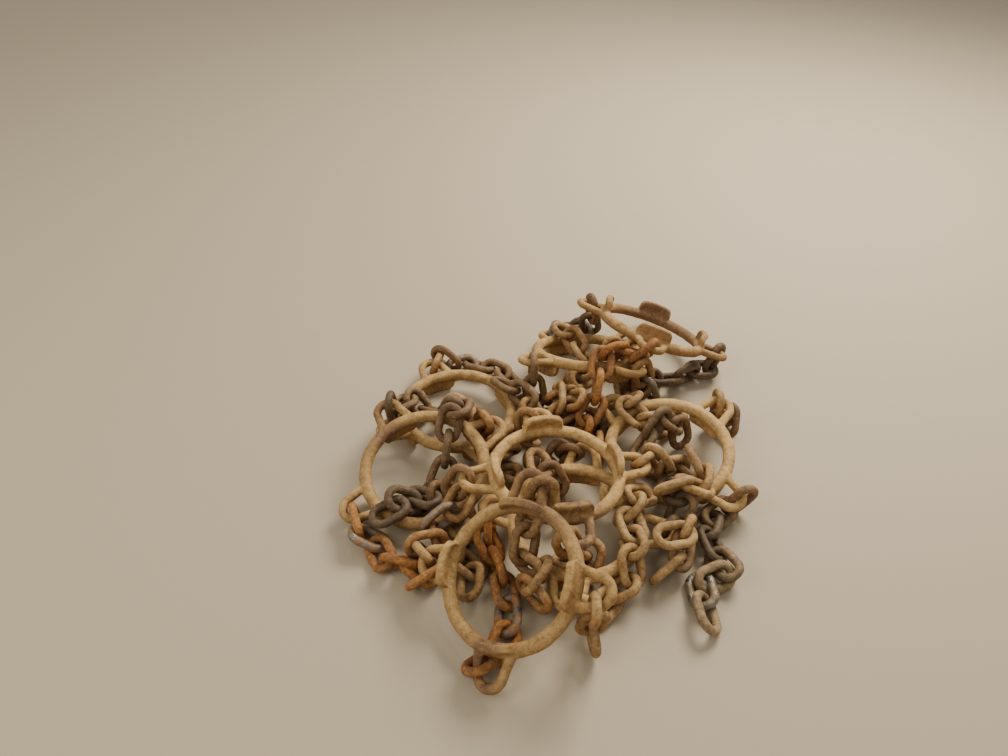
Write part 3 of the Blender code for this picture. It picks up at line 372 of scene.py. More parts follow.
# Stretches of rings with dark red rust: way of the stretch's middle in degrees, and its half width;
# rings that are paler or darker than the rest; how many half widths a stain reaches
STAINS = {"ring_front": [(58.0, 38.0), (-112.0, 12.0)], "ring_middle": [(-72.0, 20.0)],
          "ring_far_back": [(55.0, 60.0)], "ring_left": [(140.0, 16.0)]}
PALE_RINGS = {"ring_right": 0.9, "ring_middle": 0.5, "ring_under": 0.3}
DARK_RINGS = {"ring_left": 0.25, "ring_left_back": 0.12, "ring_far_back": 0.3, "ring_front": 0.08}
STAIN_REACH = 1.5

# Wear of the pads' tops, with the shares of their height where it starts and is full, and of the eyes
TOP_WEAR = 0.35
TOP_WEAR_START = 0.8
TOP_WEAR_HEIGHT = 0.15
EYE_WEAR = 0.8

# Patterns in the rust: noise of so many waves in a metre, its detail and its roughness
PATTERNS = {
    "wide": (9.0, 3.0, 0.55), "fade": (21.0, 3.0, 0.6), "patches": (46.0, 5.0, 0.66),
    "rubbing": (70.0, 3.0, 0.6), "mottle": (88.0, 4.0, 0.65), "grain": (130.0, 5.0, 0.7),
    "pits": (420.0, 3.0, 0.6)}

# Marks that the pieces carry for the rust, and shade for the painted shade, one number for each point
MARKS = ("tone", "wear", "shade", "polish", "stain", "dark", "pale")

# Spans of a pattern, from where something starts to where it is full
MOTTLE_SPAN = (0.36, 0.58)
FADE_SPAN = (0.34, 0.62)
GRAIN_SPAN = (0.31, 0.60)
PIT_SPAN = (0.29, 0.44)
SPOT_SPAN = (0.56, 0.70)
UPWARD_SPAN = (-0.2, 0.9)
DUST_PATCH_SPAN = (0.34, 0.60)
DUST_PIT_SPAN = (0.20, 0.50)
DUST_GRAIN_SPAN = (0.26, 0.54)
PALE_SPAN = (0.30, 0.62)
STAIN_SPAN = (0.33, 0.56)
FLECK_SPAN = (0.58, 0.76)
# SHADE_SPAN: crowdedness over which the painted shade comes in
SHADE_SPAN = (0.30, 1.0)
RUBBING_SPAN = (0.40, 0.60)
POLISH_SPAN = (0.36, 0.60)
DULL_SPAN = (0.2, 0.8)

# Spans that a material's own share moves down, and how far a full share moves each
FRESH_SPAN, FRESH_MOVE = (0.84, 1.0), 0.4
DUST_SPAN, DUST_MOVE = (0.72, 0.92), 0.45
STEEL_SPAN, STEEL_MOVE = (0.75, 1.05), 0.5

# How much a link's own tone, the wide pattern and the patches count for fresh rust
TONE_WEIGHT = 0.26
WIDE_WEIGHT = 0.5
PATCH_WEIGHT = 0.6

# How far each finish goes where it is full
DARK_MOST = 0.8
FADE_MOST = 0.4
SPOT_MOST = 0.6
# SHADE_MOST: how far the painted shade darkens the most crowded places
SHADE_MOST = 0.65
PALE_MOST = 0.75
DARK_DUST_LOSS = 0.65

# The surface: how grain, dark rust and bare steel change the roughness, how metallic steel is, and
# strength and depth of the coarse and the fine bumps
GRAIN_DULLNESS = 0.25
DARK_DULLNESS = -0.14
STEEL_DULLNESS = -0.45
STEEL_METALLIC = 0.9
RUST_SPECULAR = 0.35
COARSE_BUMPS = (0.9, 0.0026)
FINE_BUMPS = (0.5, 0.0007)

# Colours, as red, green and blue
BARE_STEEL = (0.22, 0.20, 0.17)
STAIN = (0.19, 0.098, 0.046)
FLECK = (0.58, 0.43, 0.28)
DARK_LINK = (0.125, 0.088, 0.047)

# The four rusts: colours of old and fresh rust, of the darkest rust, which is also the colour of the
# painted shade, and of dust, shares of fresh rust, of dust and of bare steel, least roughness, and
# strength of the mottling
RUSTS = {
    "ring_rust": {
        "old": (0.50, 0.285, 0.085), "fresh": (0.42, 0.185, 0.048), "deep_rust_and_shade": (0.20, 0.10, 0.035),
        "dust": (0.64, 0.41, 0.15), "fresh_share": 0.40, "dust_share": 0.9, "steel_share": 0.1,
        "dullness": 0.62, "mottling": 0.3},
    "dusty_rust": {
        "old": (0.43, 0.25, 0.085), "fresh": (0.54, 0.21, 0.042), "deep_rust_and_shade": (0.14, 0.07, 0.027),
        "dust": (0.62, 0.41, 0.165), "fresh_share": 0.55, "dust_share": 0.75, "steel_share": 0.5,
        "dullness": 0.56, "mottling": 0.6},
    "orange_rust": {
        "old": (0.40, 0.195, 0.06), "fresh": (0.62, 0.25, 0.043), "deep_rust_and_shade": (0.16, 0.065, 0.022),
        "dust": (0.58, 0.36, 0.13), "fresh_share": 0.80, "dust_share": 0.5, "steel_share": 0.5,
        "dullness": 0.60, "mottling": 0.6},
    "dark_rust": {
        "old": (0.22, 0.14, 0.06), "fresh": (0.36, 0.16, 0.046), "deep_rust_and_shade": (0.08, 0.049, 0.025),
        "dust": (0.42, 0.285, 0.135), "fresh_share": 0.45, "dust_share": 0.55, "steel_share": 0.6,
        "dullness": 0.46, "mottling": 0.6},
}

# How near to the floor and to the sides of the solids' box the finished skin may come
BOX_MARGIN = 0.0002

# Nodes of a material stand in a grid of so many columns, this far apart
NODE_COLUMNS = 12
NODE_ACROSS = 200.0
NODE_DOWN = 280.0

# Camera, floor and light
CAMERA_PLACE = (-0.1422, -1.3073, 1.37)
CAMERA_DOWN = 50.0
CAMERA_LENS = 27.89
CAMERA_SENSOR = 36.0
CAMERA_SHIFT = 0.0094
FLOOR_HALF = 6.0
FLOOR_COLOUR = (0.48, 0.395, 0.265, 1)
FLOOR_ROUGHNESS = 0.7
SKY_COLOUR = (1.0, 0.97, 0.92, 1)
SKY_STRENGTH = 0.54
LIGHT_AIM = (0, 0, 0.1)

# Lamp: place, size across, power, colour
LAMPS = {"key": ((1.6, 2.2, 2.6), 1.8, 180.0, (1.0, 0.93, 0.83)),
         "fill": ((-2.4, -1.2, 2.4), 2.2, 38.0, (1.0, 0.95, 0.87))}


def dot(a, b):
    """Inner products of vectors, row by row."""
    return a[..., 0] * b[..., 0] + a[..., 1] * b[..., 1] + a[..., 2] * b[..., 2]


def cross(a, b):
    """Vectors at right angles to both, row by row."""
    x = a[..., 1] * b[..., 2] - a[..., 2] * b[..., 1]
    y = a[..., 2] * b[..., 0] - a[..., 0] * b[..., 2]
    z = a[..., 0] * b[..., 1] - a[..., 1] * b[..., 0]
    return np.stack([x, y, z], -1)


def length(a):
    """Root of a vector's product with itself."""
    return np.sqrt(dot(a, a))


def unit(a):
    """Vectors divided by their lengths."""
    return a / np.maximum(length(a), TINY)[..., None]


def turned(axes, v):
    """Vectors v turned by frames whose columns are the turned axes."""
    return axes[..., 0] * v[..., 0:1] + axes[..., 1] * v[..., 1:2] + axes[..., 2] * v[..., 2:3]


def local(axes, v):
    """Vectors v as seen in the frames."""
    return np.stack([dot(axes[..., 0], v), dot(axes[..., 1], v), dot(axes[..., 2], v)], -1)


def kept(hit, *arrays):
    """The rows of each array where hit is true."""
    return [array[hit] for array in arrays]


def evenly_turned(count):
    """Angles of so many points spread evenly around a circle."""
    return np.arange(count) * 2 * math.pi / count


def link_path():
    """The link's centre line as an octagon that touches the true one, counter-clockwise."""
    side = LINK_HALF + LINK_ARC * math.tan(math.pi / 8)
    nose = LINK_ARC * math.tan(math.pi / 8)
    end = LINK_HALF + LINK_ARC
    return np.array([
        (end, -nose, 0), (end, nose, 0), (side, LINK_ARC, 0), (-side, LINK_ARC, 0),
        (-end, nose, 0), (-end, -nose, 0), (-side, -LINK_ARC, 0), (side, -LINK_ARC, 0)])


def ring_path():
    """The ring's centre line as a polygon of the same mean radius, counter-clockwise."""
    turn = 2 * math.pi / RING_STEPS
    corner = RING_RADIUS / math.cos(turn / 2)
    radius = (corner + RING_RADIUS) / 2
    return np.array([(radius * math.cos(i * turn), radius * math.sin(i * turn), 0)
                     for i in range(RING_STEPS)])


def lug_path():
    """The centre line of the lug along +X, from foot to foot."""
    wide = EYE_ARC
    nose = EYE_ARC * math.tan(math.pi / 8)
    return np.array([
        (RING_RADIUS, -LUG_FOOT, 0), (EYE_FROM_MIDDLE + nose, -wide, 0),
        (EYE_FROM_MIDDLE + wide, -nose, 0), (EYE_FROM_MIDDLE + wide, nose, 0),
        (EYE_FROM_MIDDLE + nose, wide, 0), (RING_RADIUS, LUG_FOOT, 0)])


def sections(path, radius, sides, closed):
    """The bar's corners around a flat path: at each point, mitred, and at the middle of each stretch."""
    along = unit(np.roll(path, -1, axis=0) - path)
    inward = np.stack([-along[:, 1], along[:, 0], 0 * along[:, 0]], -1)
    before = np.roll(inward, 1, axis=0)
    if not closed:
        before[0] = inward[0]
        inward[-1] = before[-1]
    half = unit(before + inward)
    mitre = half / dot(half, inward)[:, None]
    angles = evenly_turned(sides)
    up = np.array([0.0, 0.0, 1.0])

    def around(across):
        ring = np.cos(angles)[None, :, None] * across[:, None, :]
        return radius * (ring + np.sin(angles)[None, :, None] * up)

    return np.round(around(mitre), DIGITS), np.round(around(inward), DIGITS)


def ring_frame(tilt, lean, spin):
    """Columns: way of the first lug, way of the second lug, the ring's axis."""
    t, a, s = math.radians(tilt), math.radians(lean), math.radians(spin)
    axis = Vector((math.sin(t) * math.cos(a), math.sin(t) * math.sin(a), math.cos(t)))
    flat = Vector((1, 0, 0)) - axis[0] * axis
    first = Matrix.Rotation(s, 3, axis) @ flat.normalized()
    second = axis.cross(first)
    return np.round(np.array([first, second, axis], dtype=float).T, DIGITS)


def lug_turn(index):
    """Frame of one lug inside its ring."""
    angle = index * 2 * math.pi / LUG_COUNT
    c, s = round(math.cos(angle), DIGITS), round(math.sin(angle), DIGITS)
    return np.array([(c, -s, 0), (s, c, 0), (0, 0, 1)], dtype=float)


def pad_line():
    """Middle line of a pad as angle around the ring and height over the ring's plane."""
    low, high = PAD_SHOULDER / 2, PAD_HEIGHT + PAD_SPARE - PAD_REACH
    outer, inner = PAD_SHOULDER_HALF, PAD_TOP_HALF + 1.5 * PAD_SPARE
    return [(-outer / RING_RADIUS, low), (-inner / RING_RADIUS, high),
            (inner / RING_RADIUS, high), (outer / RING_RADIUS, low)]


class RingBars:
    """Every stretch of bar of every ring, as the laying sees it."""

    def __init__(self):
        self.start, self.stop, self.corners, self.fill, self.eye, self.core = [], [], [], [], [], []
        self.eye_centre, self.eye_out, self.eye_axis, self.eye_number = [], [], [], {}
        for name, (middle, tilt, lean, spin, pads_up) in RINGS.items():
            frame = ring_frame(tilt, lean, spin)
            self.add_path(middle, frame, ring_path(), RING_BAR, RING_SIDES, True, -1)
            for index in range(LUG_COUNT):
                self.add_lug(name, middle, frame, index, 1 if pads_up else -1)
        for part in ("start", "stop", "corners", "fill", "eye", "core", "eye_centre", "eye_out", "eye_axis"):
            setattr(self, part, np.array(getattr(self, part)))
        self.berth = np.where(self.eye < 0, 1.0, LUG_SPREAD_SHARE)
        self.measure()

    def measure(self):
        """Middle and half length of every stretch."""
        self.middle = (self.start + self.stop) / 2
        self.half = length(self.stop - self.start) / 2

    def add_laid_links(self, laying):
        """Takes the links of a laying as they lie, so that the next ones are laid on them."""
        stretches = laying.stretches + 1
        corners = turned(laying.frame[:, None, None, None], laying.corners[None])
        spare = np.repeat(corners[:, :, :, :1], RING_SIDES - LINK_SIDES, axis=3)
        corners = np.concatenate([corners, spare], axis=3).reshape(-1, 3, RING_SIDES, 3)
        core = np.tile(np.arange(stretches) == laying.stretches, laying.count)
        added = {"start": np.round(laying.start.reshape(-1, 3), DIGITS),
                 "stop": np.round(laying.stop.reshape(-1, 3), DIGITS),
                 "corners": np.round(corners, DIGITS), "fill": np.tile(laying.fill, laying.count),
                 "eye": np.full(len(core), -1), "core": core,
                 "berth": np.where(core, LINK_SPREAD / RING_SPREAD, 0.0)}
        for part, values in added.items():
            setattr(self, part, np.concatenate([getattr(self, part), values]))
        self.measure()

    def add_bar(self, start, stop, corners, fill, eye, core):
        """One stretch, with its corners at start, middle and stop, or a round filler around it."""
        self.start.append(np.round(start, DIGITS))
        self.stop.append(np.round(stop, DIGITS))
        self.corners.append(np.round(corners, DIGITS))
        self.fill.append(fill)
        self.eye.append(eye)
        self.core.append(core)

    def add_path(self, middle, frame, path, radius, sides, closed, eye):
        """The stretches of a bar along a flat path, with spare corners up to the ring's number."""
        at_points, at_stretches = sections(path, radius, sides, closed)
        points = middle + turned(frame, path)
        count = len(path) if closed else len(path) - 1
        for i in range(count):
            j = (i + 1) % len(path)
            places = np.stack([at_points[i], at_stretches[i], at_points[j]])
            spare = np.repeat(places[:, :1], RING_SIDES - sides, axis=1)
            corners = turned(frame, np.concatenate([places, spare], axis=1))
            self.add_bar(points[i], points[j], corners, 0.0, eye, False)

    def add_lug(self, name, middle, frame, index, side):
        """A lug's bar, a filler across its eye and three stretches along the pad over it."""
        number = len(self.eye_number)
        self.eye_number[name, index] = number
        lug = np.round(np.stack([turned(frame, lug_turn(index)[:, k]) for k in range(3)], axis=1), DIGITS)
        self.add_path(middle, lug, lug_path(), LUG_BAR, LUG_SIDES, False, number)
        centre = middle + EYE_FROM_MIDDLE * lug[:, 0]
        nothing = np.zeros((3, RING_SIDES, 3))
        self.add_bar(centre - 2 / 3 * HOLE_FILL * lug[:, 0], centre + 1 / 3 * HOLE_FILL * lug[:, 0],
                     nothing, HOLE_FILL, number, True)
        line = [middle + turned(lug, np.array([RING_RADIUS * math.cos(angle),
                                               RING_RADIUS * math.sin(angle), side * height]))
                for angle, height in pad_line()]
        for a, b in zip(line, line[1:]):
            self.add_bar(a, b, nothing, PAD_REACH, -1, False)
        self.eye_centre.append(np.round(centre, DIGITS))
        self.eye_out.append(lug[:, 0])
        self.eye_axis.append(lug[:, 2])


def point_along(route, distance):
    """The point at a distance along a route of straight stretches."""
    for a, b in zip(route, route[1:]):
        step = length(b - a)
        if distance <= step:
            return a + (b - a) * (distance / step)
        distance = distance - step
    return route[-1]


def first_places(bars, run):
    """Links spaced evenly along the route, each turned a quarter from the one before."""
    name, first_eye, last_eye, count, points = run
    route = [np.array(p) for p in points]
    if first_eye:
        route.insert(0, bars.eye_centre[bars.eye_number[first_eye]])
    if last_eye:
        route.append(bars.eye_centre[bars.eye_number[last_eye]])
    total = sum(float(length(b - a)) for a, b in zip(route, route[1:]))
    ends = [point_along(route, total * i / count) for i in range(count + 1)]
    ways = [unit(b - a) for a, b in zip(ends, ends[1:])]
    level = unit(cross(np.array([0.0, 0.0, 1.0]), ways[0]))
    normal = unit(level + cross(ways[0], level))
    if first_eye:
        eye = bars.eye_number[first_eye]
        normal = cross(bars.eye_axis[eye], bars.eye_out[eye])
    places, frames = [], []
    for i, way in enumerate(ways):
        normal = unit(normal - dot(normal, way) * way)
        if i:
            normal = unit(cross(way, normal))
        places.append((ends[i] + ends[i + 1]) / 2)
        frames.append(np.stack([way, cross(normal, way), normal], axis=1))
    return np.round(np.array(places), DIGITS), np.round(np.array(frames), DIGITS)


def nearest(p1, q1, p2, q2):
    """Nearest points of two stretches, and which of start, middle and stop each one is."""
    d1, d2, r = q1 - p1, q2 - p2, p1 - p2
    a, e, f, c, b = dot(d1, d1), dot(d2, d2), dot(d2, r), dot(d1, r), dot(d1, d2)
    s = np.clip((b * f - c * e) / np.maximum(a * e - b * b, PARALLEL), 0, 1)
    t = np.clip((b * s + f) / e, 0, 1)
    s = np.clip((b * t - c) / a, 0, 1)
    t = np.clip((b * s + f) / e, 0, 1)
    return p1 + s[..., None] * d1, p2 + t[..., None] * d2, place_of(s), place_of(t)


def place_of(share):
    """0 at a stretch's start, 2 at its stop and 1 between them."""
    return (share > SAME_PLACE).astype(int) + (share > 1 - SAME_PLACE).astype(int)


class Laying:
    """The links as stiff pieces: where each one is, and the pushes and pulls between them.

    Only sums, products and square roots are used while laying, so the result is the same everywhere.
    """

    def __init__(self, bars, runs):
        self.bars = bars
        places, frames, owner, self.first = [], [], [], []
        ties = []
        for number, run in enumerate(runs):
            where, turn = first_places(bars, run)
            self.first.append(len(owner))
            if run[1]:
                ties.append((len(owner), -1, bars.eye_number[run[1]]))
            places.append(where)
            frames.append(turn)
            owner += [number] * len(where)
            if run[2]:
                ties.append((len(owner) - 1, 1, bars.eye_number[run[2]]))
        self.place, self.frame = np.concatenate(places), np.concatenate(frames)
        self.owner, self.count = np.array(owner), len(owner)
        self.home = self.place.copy()
        self.pairs = np.array([i for i in range(1, self.count) if owner[i] == owner[i - 1]])
        self.tied, self.tied_end, self.tied_eye = np.array(ties, dtype=int).reshape(-1, 3).T
        self.own_eye = np.full(self.count, -2)
        self.own_eye[self.tied] = self.tied_eye
        self.make_shape()
        self.refresh()

    def make_shape(self):
        """The link's stretches, with a ninth that fills its hole, and their corners."""
        path = link_path()
        at_points, at_stretches = sections(path, LINK_BAR, LINK_SIDES, True)
        self.path = path
        self.stretches = len(path)
        after = np.roll(at_points, -1, axis=0)
        corners = np.stack([at_points, at_stretches, after], axis=1)
        self.corners = np.concatenate([corners, np.zeros((1, 3, LINK_SIDES, 3))])
        self.fill = np.array([0.0] * self.stretches + [LINK_BAR])
        self.half = np.append(length(np.roll(path, -1, axis=0) - path) / 2, HOLE_FILL)
        self.skin = (path[:, None] + at_points).reshape(-1, 3)
        nose = [0, 1, 2, self.stretches - 1, self.stretches - 2]
        tail = [3, 4, 5, 2, self.stretches - 2]
        self.nose, self.tail = np.array(nose), np.array(tail)
        self.tied_stretches = np.where(self.tied_end[:, None] > 0, self.nose, self.tail)
        starts = [np.nonzero((self.bars.eye == e) & ~self.bars.core)[0][1:4] for e in self.tied_eye]
        self.eye_stretches = np.array(starts, dtype=int).reshape(-1, 3)

    def refresh(self):
        """Works out every stretch from the links' places and frames."""
        points = self.place[:, None] + turned(self.frame[:, None], self.path[None])
        core = HOLE_FILL * self.frame[:, None, :, 0]
        centre = self.place[:, None]
        self.start = np.concatenate([points, centre - core], axis=1)
        self.stop = np.concatenate([np.roll(points, -1, axis=1), centre + core], axis=1)

    def reach(self, link, stretch, place, way):
        """How far the link's bar reaches from its centre line, along a way."""
        seen = local(self.frame[link], way)
        return dot(self.corners[stretch, place], seen[:, None]).max(axis=1) + self.fill[stretch]

    def ring_reach(self, bar, place, way):
        """The same for a stretch of a ring."""
        return dot(self.bars.corners[bar, place], way[:, None]).max(axis=1) + self.bars.fill[bar]

    def nearest_links(self, a, sa, b, sb):
        """Nearest points of stretches sa of links a and stretches sb of links b."""
        return nearest(self.start[a, sa], self.stop[a, sa], self.start[b, sb], self.stop[b, sb])

    def nearest_bars(self, a, sa, bar):
        """Nearest points of stretches sa of links a and of rings' stretches."""
        return nearest(self.start[a, sa], self.stop[a, sa], self.bars.start[bar], self.bars.stop[bar])

    def search(self):
        """Lists the stretches near enough to touch before the next search."""
        middle = (self.start + self.stop) / 2
        size = self.stretches + 1
        apart = length(self.place[:, None] - self.place[None])
        reach = 2 * (LINK_HALF + LINK_ARC + LINK_BAR)
        i, j = np.nonzero(np.triu(apart < reach + SEARCH_MARGIN, 1))
        beside = (j == i + 1) & (self.owner[i] == self.owner[j])
        a, b = np.repeat(i, size * size), np.repeat(j, size * size)
        beside = np.repeat(beside, size * size)
        sa = np.tile(np.repeat(np.arange(size), size), len(i))
        sb = np.tile(np.arange(size), size * len(i))
        widest = 2 * LINK_BAR + SEARCH_MARGIN
        near = length(middle[a, sa] - middle[b, sb]) < self.half[sa] + self.half[sb] + widest
        keep = near & (~beside | ((sa < self.stretches) & (sb < self.stretches)))
        a, b, sa, sb, beside = kept(keep, a, b, sa, sb, beside)
        x, y, _, _ = self.nearest_links(a, sa, b, sb)
        self.near_links = kept(length(x - y) < widest, a, b, sa, sb, beside)
        bars = self.bars
        flat, half = middle.reshape(-1, 3), np.tile(self.half, self.count)
        widest = RING_BAR + LINK_BAR + SEARCH_MARGIN
        near = length(flat[:, None] - bars.middle[None]) < half[:, None] + bars.half[None] + widest
        i, bar = np.nonzero(near)
        a, sa = i // size, i % size
        x, y, _, _ = self.nearest_bars(a, sa, bar)
        own = self.own_eye[a] == bars.eye[bar]
        keep = (length(x - y) < widest) & ~(own & ((sa == self.stretches) | bars.core[bar]))
        self.near_bars = kept(keep, a, sa, bar)

    def begin(self):
        """Starts a new list of pushes: link, move, turn and weight."""
        self.pushes = []

    def ease(self, link, point, way):
        """How freely a link moves when it is pushed at a point."""
        arm = cross(point - self.place[link], way)
        return 1 + dot(arm, arm) / TURN_ARM ** 2

    def push(self, link, point, way, amount):
        """A push at a point moves the link, and turns it by arm times push."""
        move = amount[:, None] * way
        turn = cross(point - self.place[link], move) / TURN_ARM ** 2
        self.pushes.append((link, move, turn, np.ones(len(link))))

    def close(self, link, point, way, gap):
        """Pushes a link so that the point goes the whole gap along the way."""
        self.push(link, point, way, gap / self.ease(link, point, way))

    def close_both(self, a, x, b, y, way, gap):
        """Pushes link a at x along the way and link b at y against it, to close the gap together."""
        amount = gap / (self.ease(a, x, way) + self.ease(b, y, way))
        self.push(a, x, way, amount)
        self.push(b, y, -way, amount)

    def spin(self, link, turn):
        """Turns a link where it is."""
        self.pushes.append((link, 0 * turn, turn, np.zeros(len(link))))

    def finish(self, share, most):
        """Moves and turns each link by the mean of its pushes."""
        link, move, turn, weight = (np.concatenate(column) for column in zip(*self.pushes))
        scale = (share / np.maximum(np.bincount(link, weight, self.count), 1))[:, None]
        move, turn = (scale * np.stack([np.bincount(link, way, self.count) for way in pushed.T], axis=1)
                      for pushed in (move, turn))
        move = move * np.minimum(1, most / np.maximum(length(move), TINY))[:, None]
        turn = turn * np.minimum(1, most / TURN_ARM / np.maximum(length(turn), TINY))[:, None]
        self.place = self.place + move
        way, side = self.frame[:, :, 0], self.frame[:, :, 1]
        way = unit(way + cross(turn, way))
        side = side + cross(turn, side)
        side = unit(side - dot(side, way)[:, None] * way)
        self.frame = np.stack([way, side, cross(way, side)], axis=2)
        self.refresh()

    def thread(self, share, most):
        """Draws neighbouring links, and links and their eyes, into each other."""
        gap = 2 * LINK_ARC - 2 * LINK_BAR + BITE
        for parity in (0, 1):
            self.begin()
            b = self.pairs[parity::2]
            a = b - 1
            way_a, axis_a = self.frame[a, :, 0], self.frame[a, :, 2]
            way_b, axis_b = self.frame[b, :, 0], self.frame[b, :, 2]
            from_a = self.place[a] + LINK_HALF * way_a
            from_b = self.place[b] - LINK_HALF * way_b
            offset = from_b - from_a
            way = unit(offset)
            self.close_both(a, from_a, b, from_b, way, length(offset) - gap)
            self.close_both(a, from_b, b, from_b, axis_a, dot(offset, axis_a))
            self.close_both(b, from_a, a, from_a, axis_b, -dot(offset, axis_b))
            square = SQUARE_TURN * dot(axis_a, axis_b)[:, None] * cross(axis_a, axis_b)
            self.spin(a, -square)
            self.spin(b, square)
            bend_a = np.minimum(0, dot(way, way_a) - BEND_LEFT)[:, None]
            bend_b = np.minimum(0, dot(way, way_b) - BEND_LEFT)[:, None]
            self.spin(a, -STRAIGHTEN * bend_a * cross(way_a, way))
            self.spin(b, -STRAIGHTEN * bend_b * cross(way_b, way))
            self.finish(2 * share, most)
        self.begin()
        link, eye = self.tied, self.tied_eye
        centre, out, axis = self.bars.eye_centre[eye], self.bars.eye_out[eye], self.bars.eye_axis[eye]
        way = self.frame[link, :, 0] * self.tied_end[:, None]
        arc = self.place[link] + LINK_HALF * way
        line = unit(arc - centre)
        line = unit(line + np.maximum(0, EYE_OUTWARD - dot(line, out))[:, None] * out)
        line = unit(line - dot(line, axis)[:, None] * axis)
        hang = EYE_ARC + LINK_ARC - LUG_BAR - LINK_BAR - CLEARANCE
        offset = centre + hang * line - arc
        self.close(link, arc, unit(offset), length(offset))
        plane = cross(axis, line)
        plane = plane * np.where(dot(plane, self.frame[link, :, 2]) < 0, -1, 1)[:, None]
        self.spin(link, STRAIGHTEN * cross(self.frame[link, :, 2], plane))
        bend = np.maximum(0, dot(way, line) - EYE_BEND_LEFT)[:, None]
        self.spin(link, -EYE_STRAIGHTEN * bend * cross(way, line))
        self.finish(2 * share, most)

    def spread(self, between_links, from_rings, most):
        """Pushes each link's middle line away from the others' and from the rings' bars."""
        self.begin()
        core = self.stretches
        apart = length(self.place[:, None] - self.place[None])
        i, j = np.nonzero(np.triu(apart < 2 * HOLE_FILL + between_links, 1))
        strangers = (j != i + 1) | (self.owner[i] != self.owner[j])
        i, j = kept(strangers, i, j)
        x, y, _, _ = self.nearest_links(i, core, j, core)
        short = between_links - length(y - x)
        i, j, x, y, short = kept(short > 0, i, j, x, y, short)
        self.close_both(i, x, j, y, -unit(y - x), short)
        bars = self.bars
        widest = HOLE_FILL + bars.half + from_rings * np.maximum(1, bars.berth)
        near = length(self.place[:, None] - bars.middle[None]) < widest[None]
        i, bar = np.nonzero(near & (self.own_eye[:, None] != bars.eye[None]))
        x, y, _, _ = self.nearest_bars(i, core, bar)
        short = bars.berth[bar] * from_rings - length(y - x)
        i, x, y, short = kept(short > 0, i, x, y, short)
        self.close(i, x, -unit(y - x), short)
        lift = np.maximum(0, LIFT_BARS * LINK_BAR - self.place[:, 2])
        self.place = self.place + np.stack([0 * lift, 0 * lift, lift], axis=1)
        self.finish(1.0, most)

    def part(self, size, share, most):
        """Pushes apart bars, of a share of their size, that overlap, and lifts what is under the floor."""
        self.begin()
        a, b, sa, sb, beside = self.near_links
        x, y, pa, pb = self.nearest_links(a, sa, b, sb)
        way = unit(y - x)
        wanted = self.reach(a, sa, pa, way) + self.reach(b, sb, pb, -way)
        short = size * wanted + np.where(beside, -BITE, CLEARANCE) - length(y - x)
        a, b, x, y, way, short = kept(short > 0, a, b, x, y, way, short)
        self.close_both(a, x, b, y, -way, short)
        a, sa, bar = self.near_bars
        x, y, pa, pb = self.nearest_bars(a, sa, bar)
        way = unit(y - x)
        wanted = self.reach(a, sa, pa, way) + self.ring_reach(bar, pb, -way)
        short = size * wanted + CLEARANCE - length(y - x)
        a, x, way, short = kept(short > 0, a, x, way, short)
        self.close(a, x, -way, short)
        skin = self.place[:, None] + turned(self.frame[:, None], self.skin[None])
        link, corner = np.nonzero(skin[:, :, 2] < FLOOR_CLEARANCE)
        point = skin[link, corner]
        up = np.zeros((len(link), 3))
        up[:, 2] = 1
        self.close(link, point, up, FLOOR_CLEARANCE - point[:, 2])
        self.finish(share, most)

    def pull(self, share, most):
        """Draws neighbours that have come apart back until they bear, and so with the eyes."""
        for parity in (0, 1):
            self.begin()
            b = self.pairs[parity::2]
            a = b - 1
            sa, sb = np.repeat(self.nose, len(self.tail)), np.tile(self.tail, len(self.nose))
            x, y, pa, pb = self.nearest_links(a[:, None], sa, b[:, None], sb)
            best, row = length(y - x).argmin(axis=1), np.arange(len(a))
            x, y, pa, pb = x[row, best], y[row, best], pa[row, best], pb[row, best]
            sa, sb = sa[best], sb[best]
            way = unit(y - x)
            wanted = self.reach(a, sa, pa, way) + self.reach(b, sb, pb, -way) - BITE
            loose = length(y - x) - wanted
            a, b, x, y, way, loose = kept(loose > 0, a, b, x, y, way, loose)
            self.close_both(a, x, b, y, way, loose)
            self.finish(share, most)
        self.begin()
        link = self.tied
        sa = np.repeat(self.tied_stretches, self.eye_stretches.shape[1], axis=1)
        bar = np.tile(self.eye_stretches, (1, self.tied_stretches.shape[1]))
        x, y, pa, pb = self.nearest_bars(link[:, None], sa, bar)
        best, row = length(y - x).argmin(axis=1), np.arange(len(link))
        x, y, pa, pb = x[row, best], y[row, best], pa[row, best], pb[row, best]
        sa, bar = sa[row, best], bar[row, best]
        way = unit(y - x)
        wanted = self.reach(link, sa, pa, way) + self.ring_reach(bar, pb, -way) + CLEARANCE
        loose = length(y - x) - wanted
        link, x, way, loose = kept(loose > 0, link, x, way, loose)
        self.close(link, x, way, loose)
        self.finish(share, most)

    def home_by(self, share_across, share_up, most):
        """Moves each link a little towards its route."""
        share = np.array([share_across, share_across, share_up])
        self.place = self.place + np.clip(share * (self.home - self.place), -most, most)
        self.refresh()


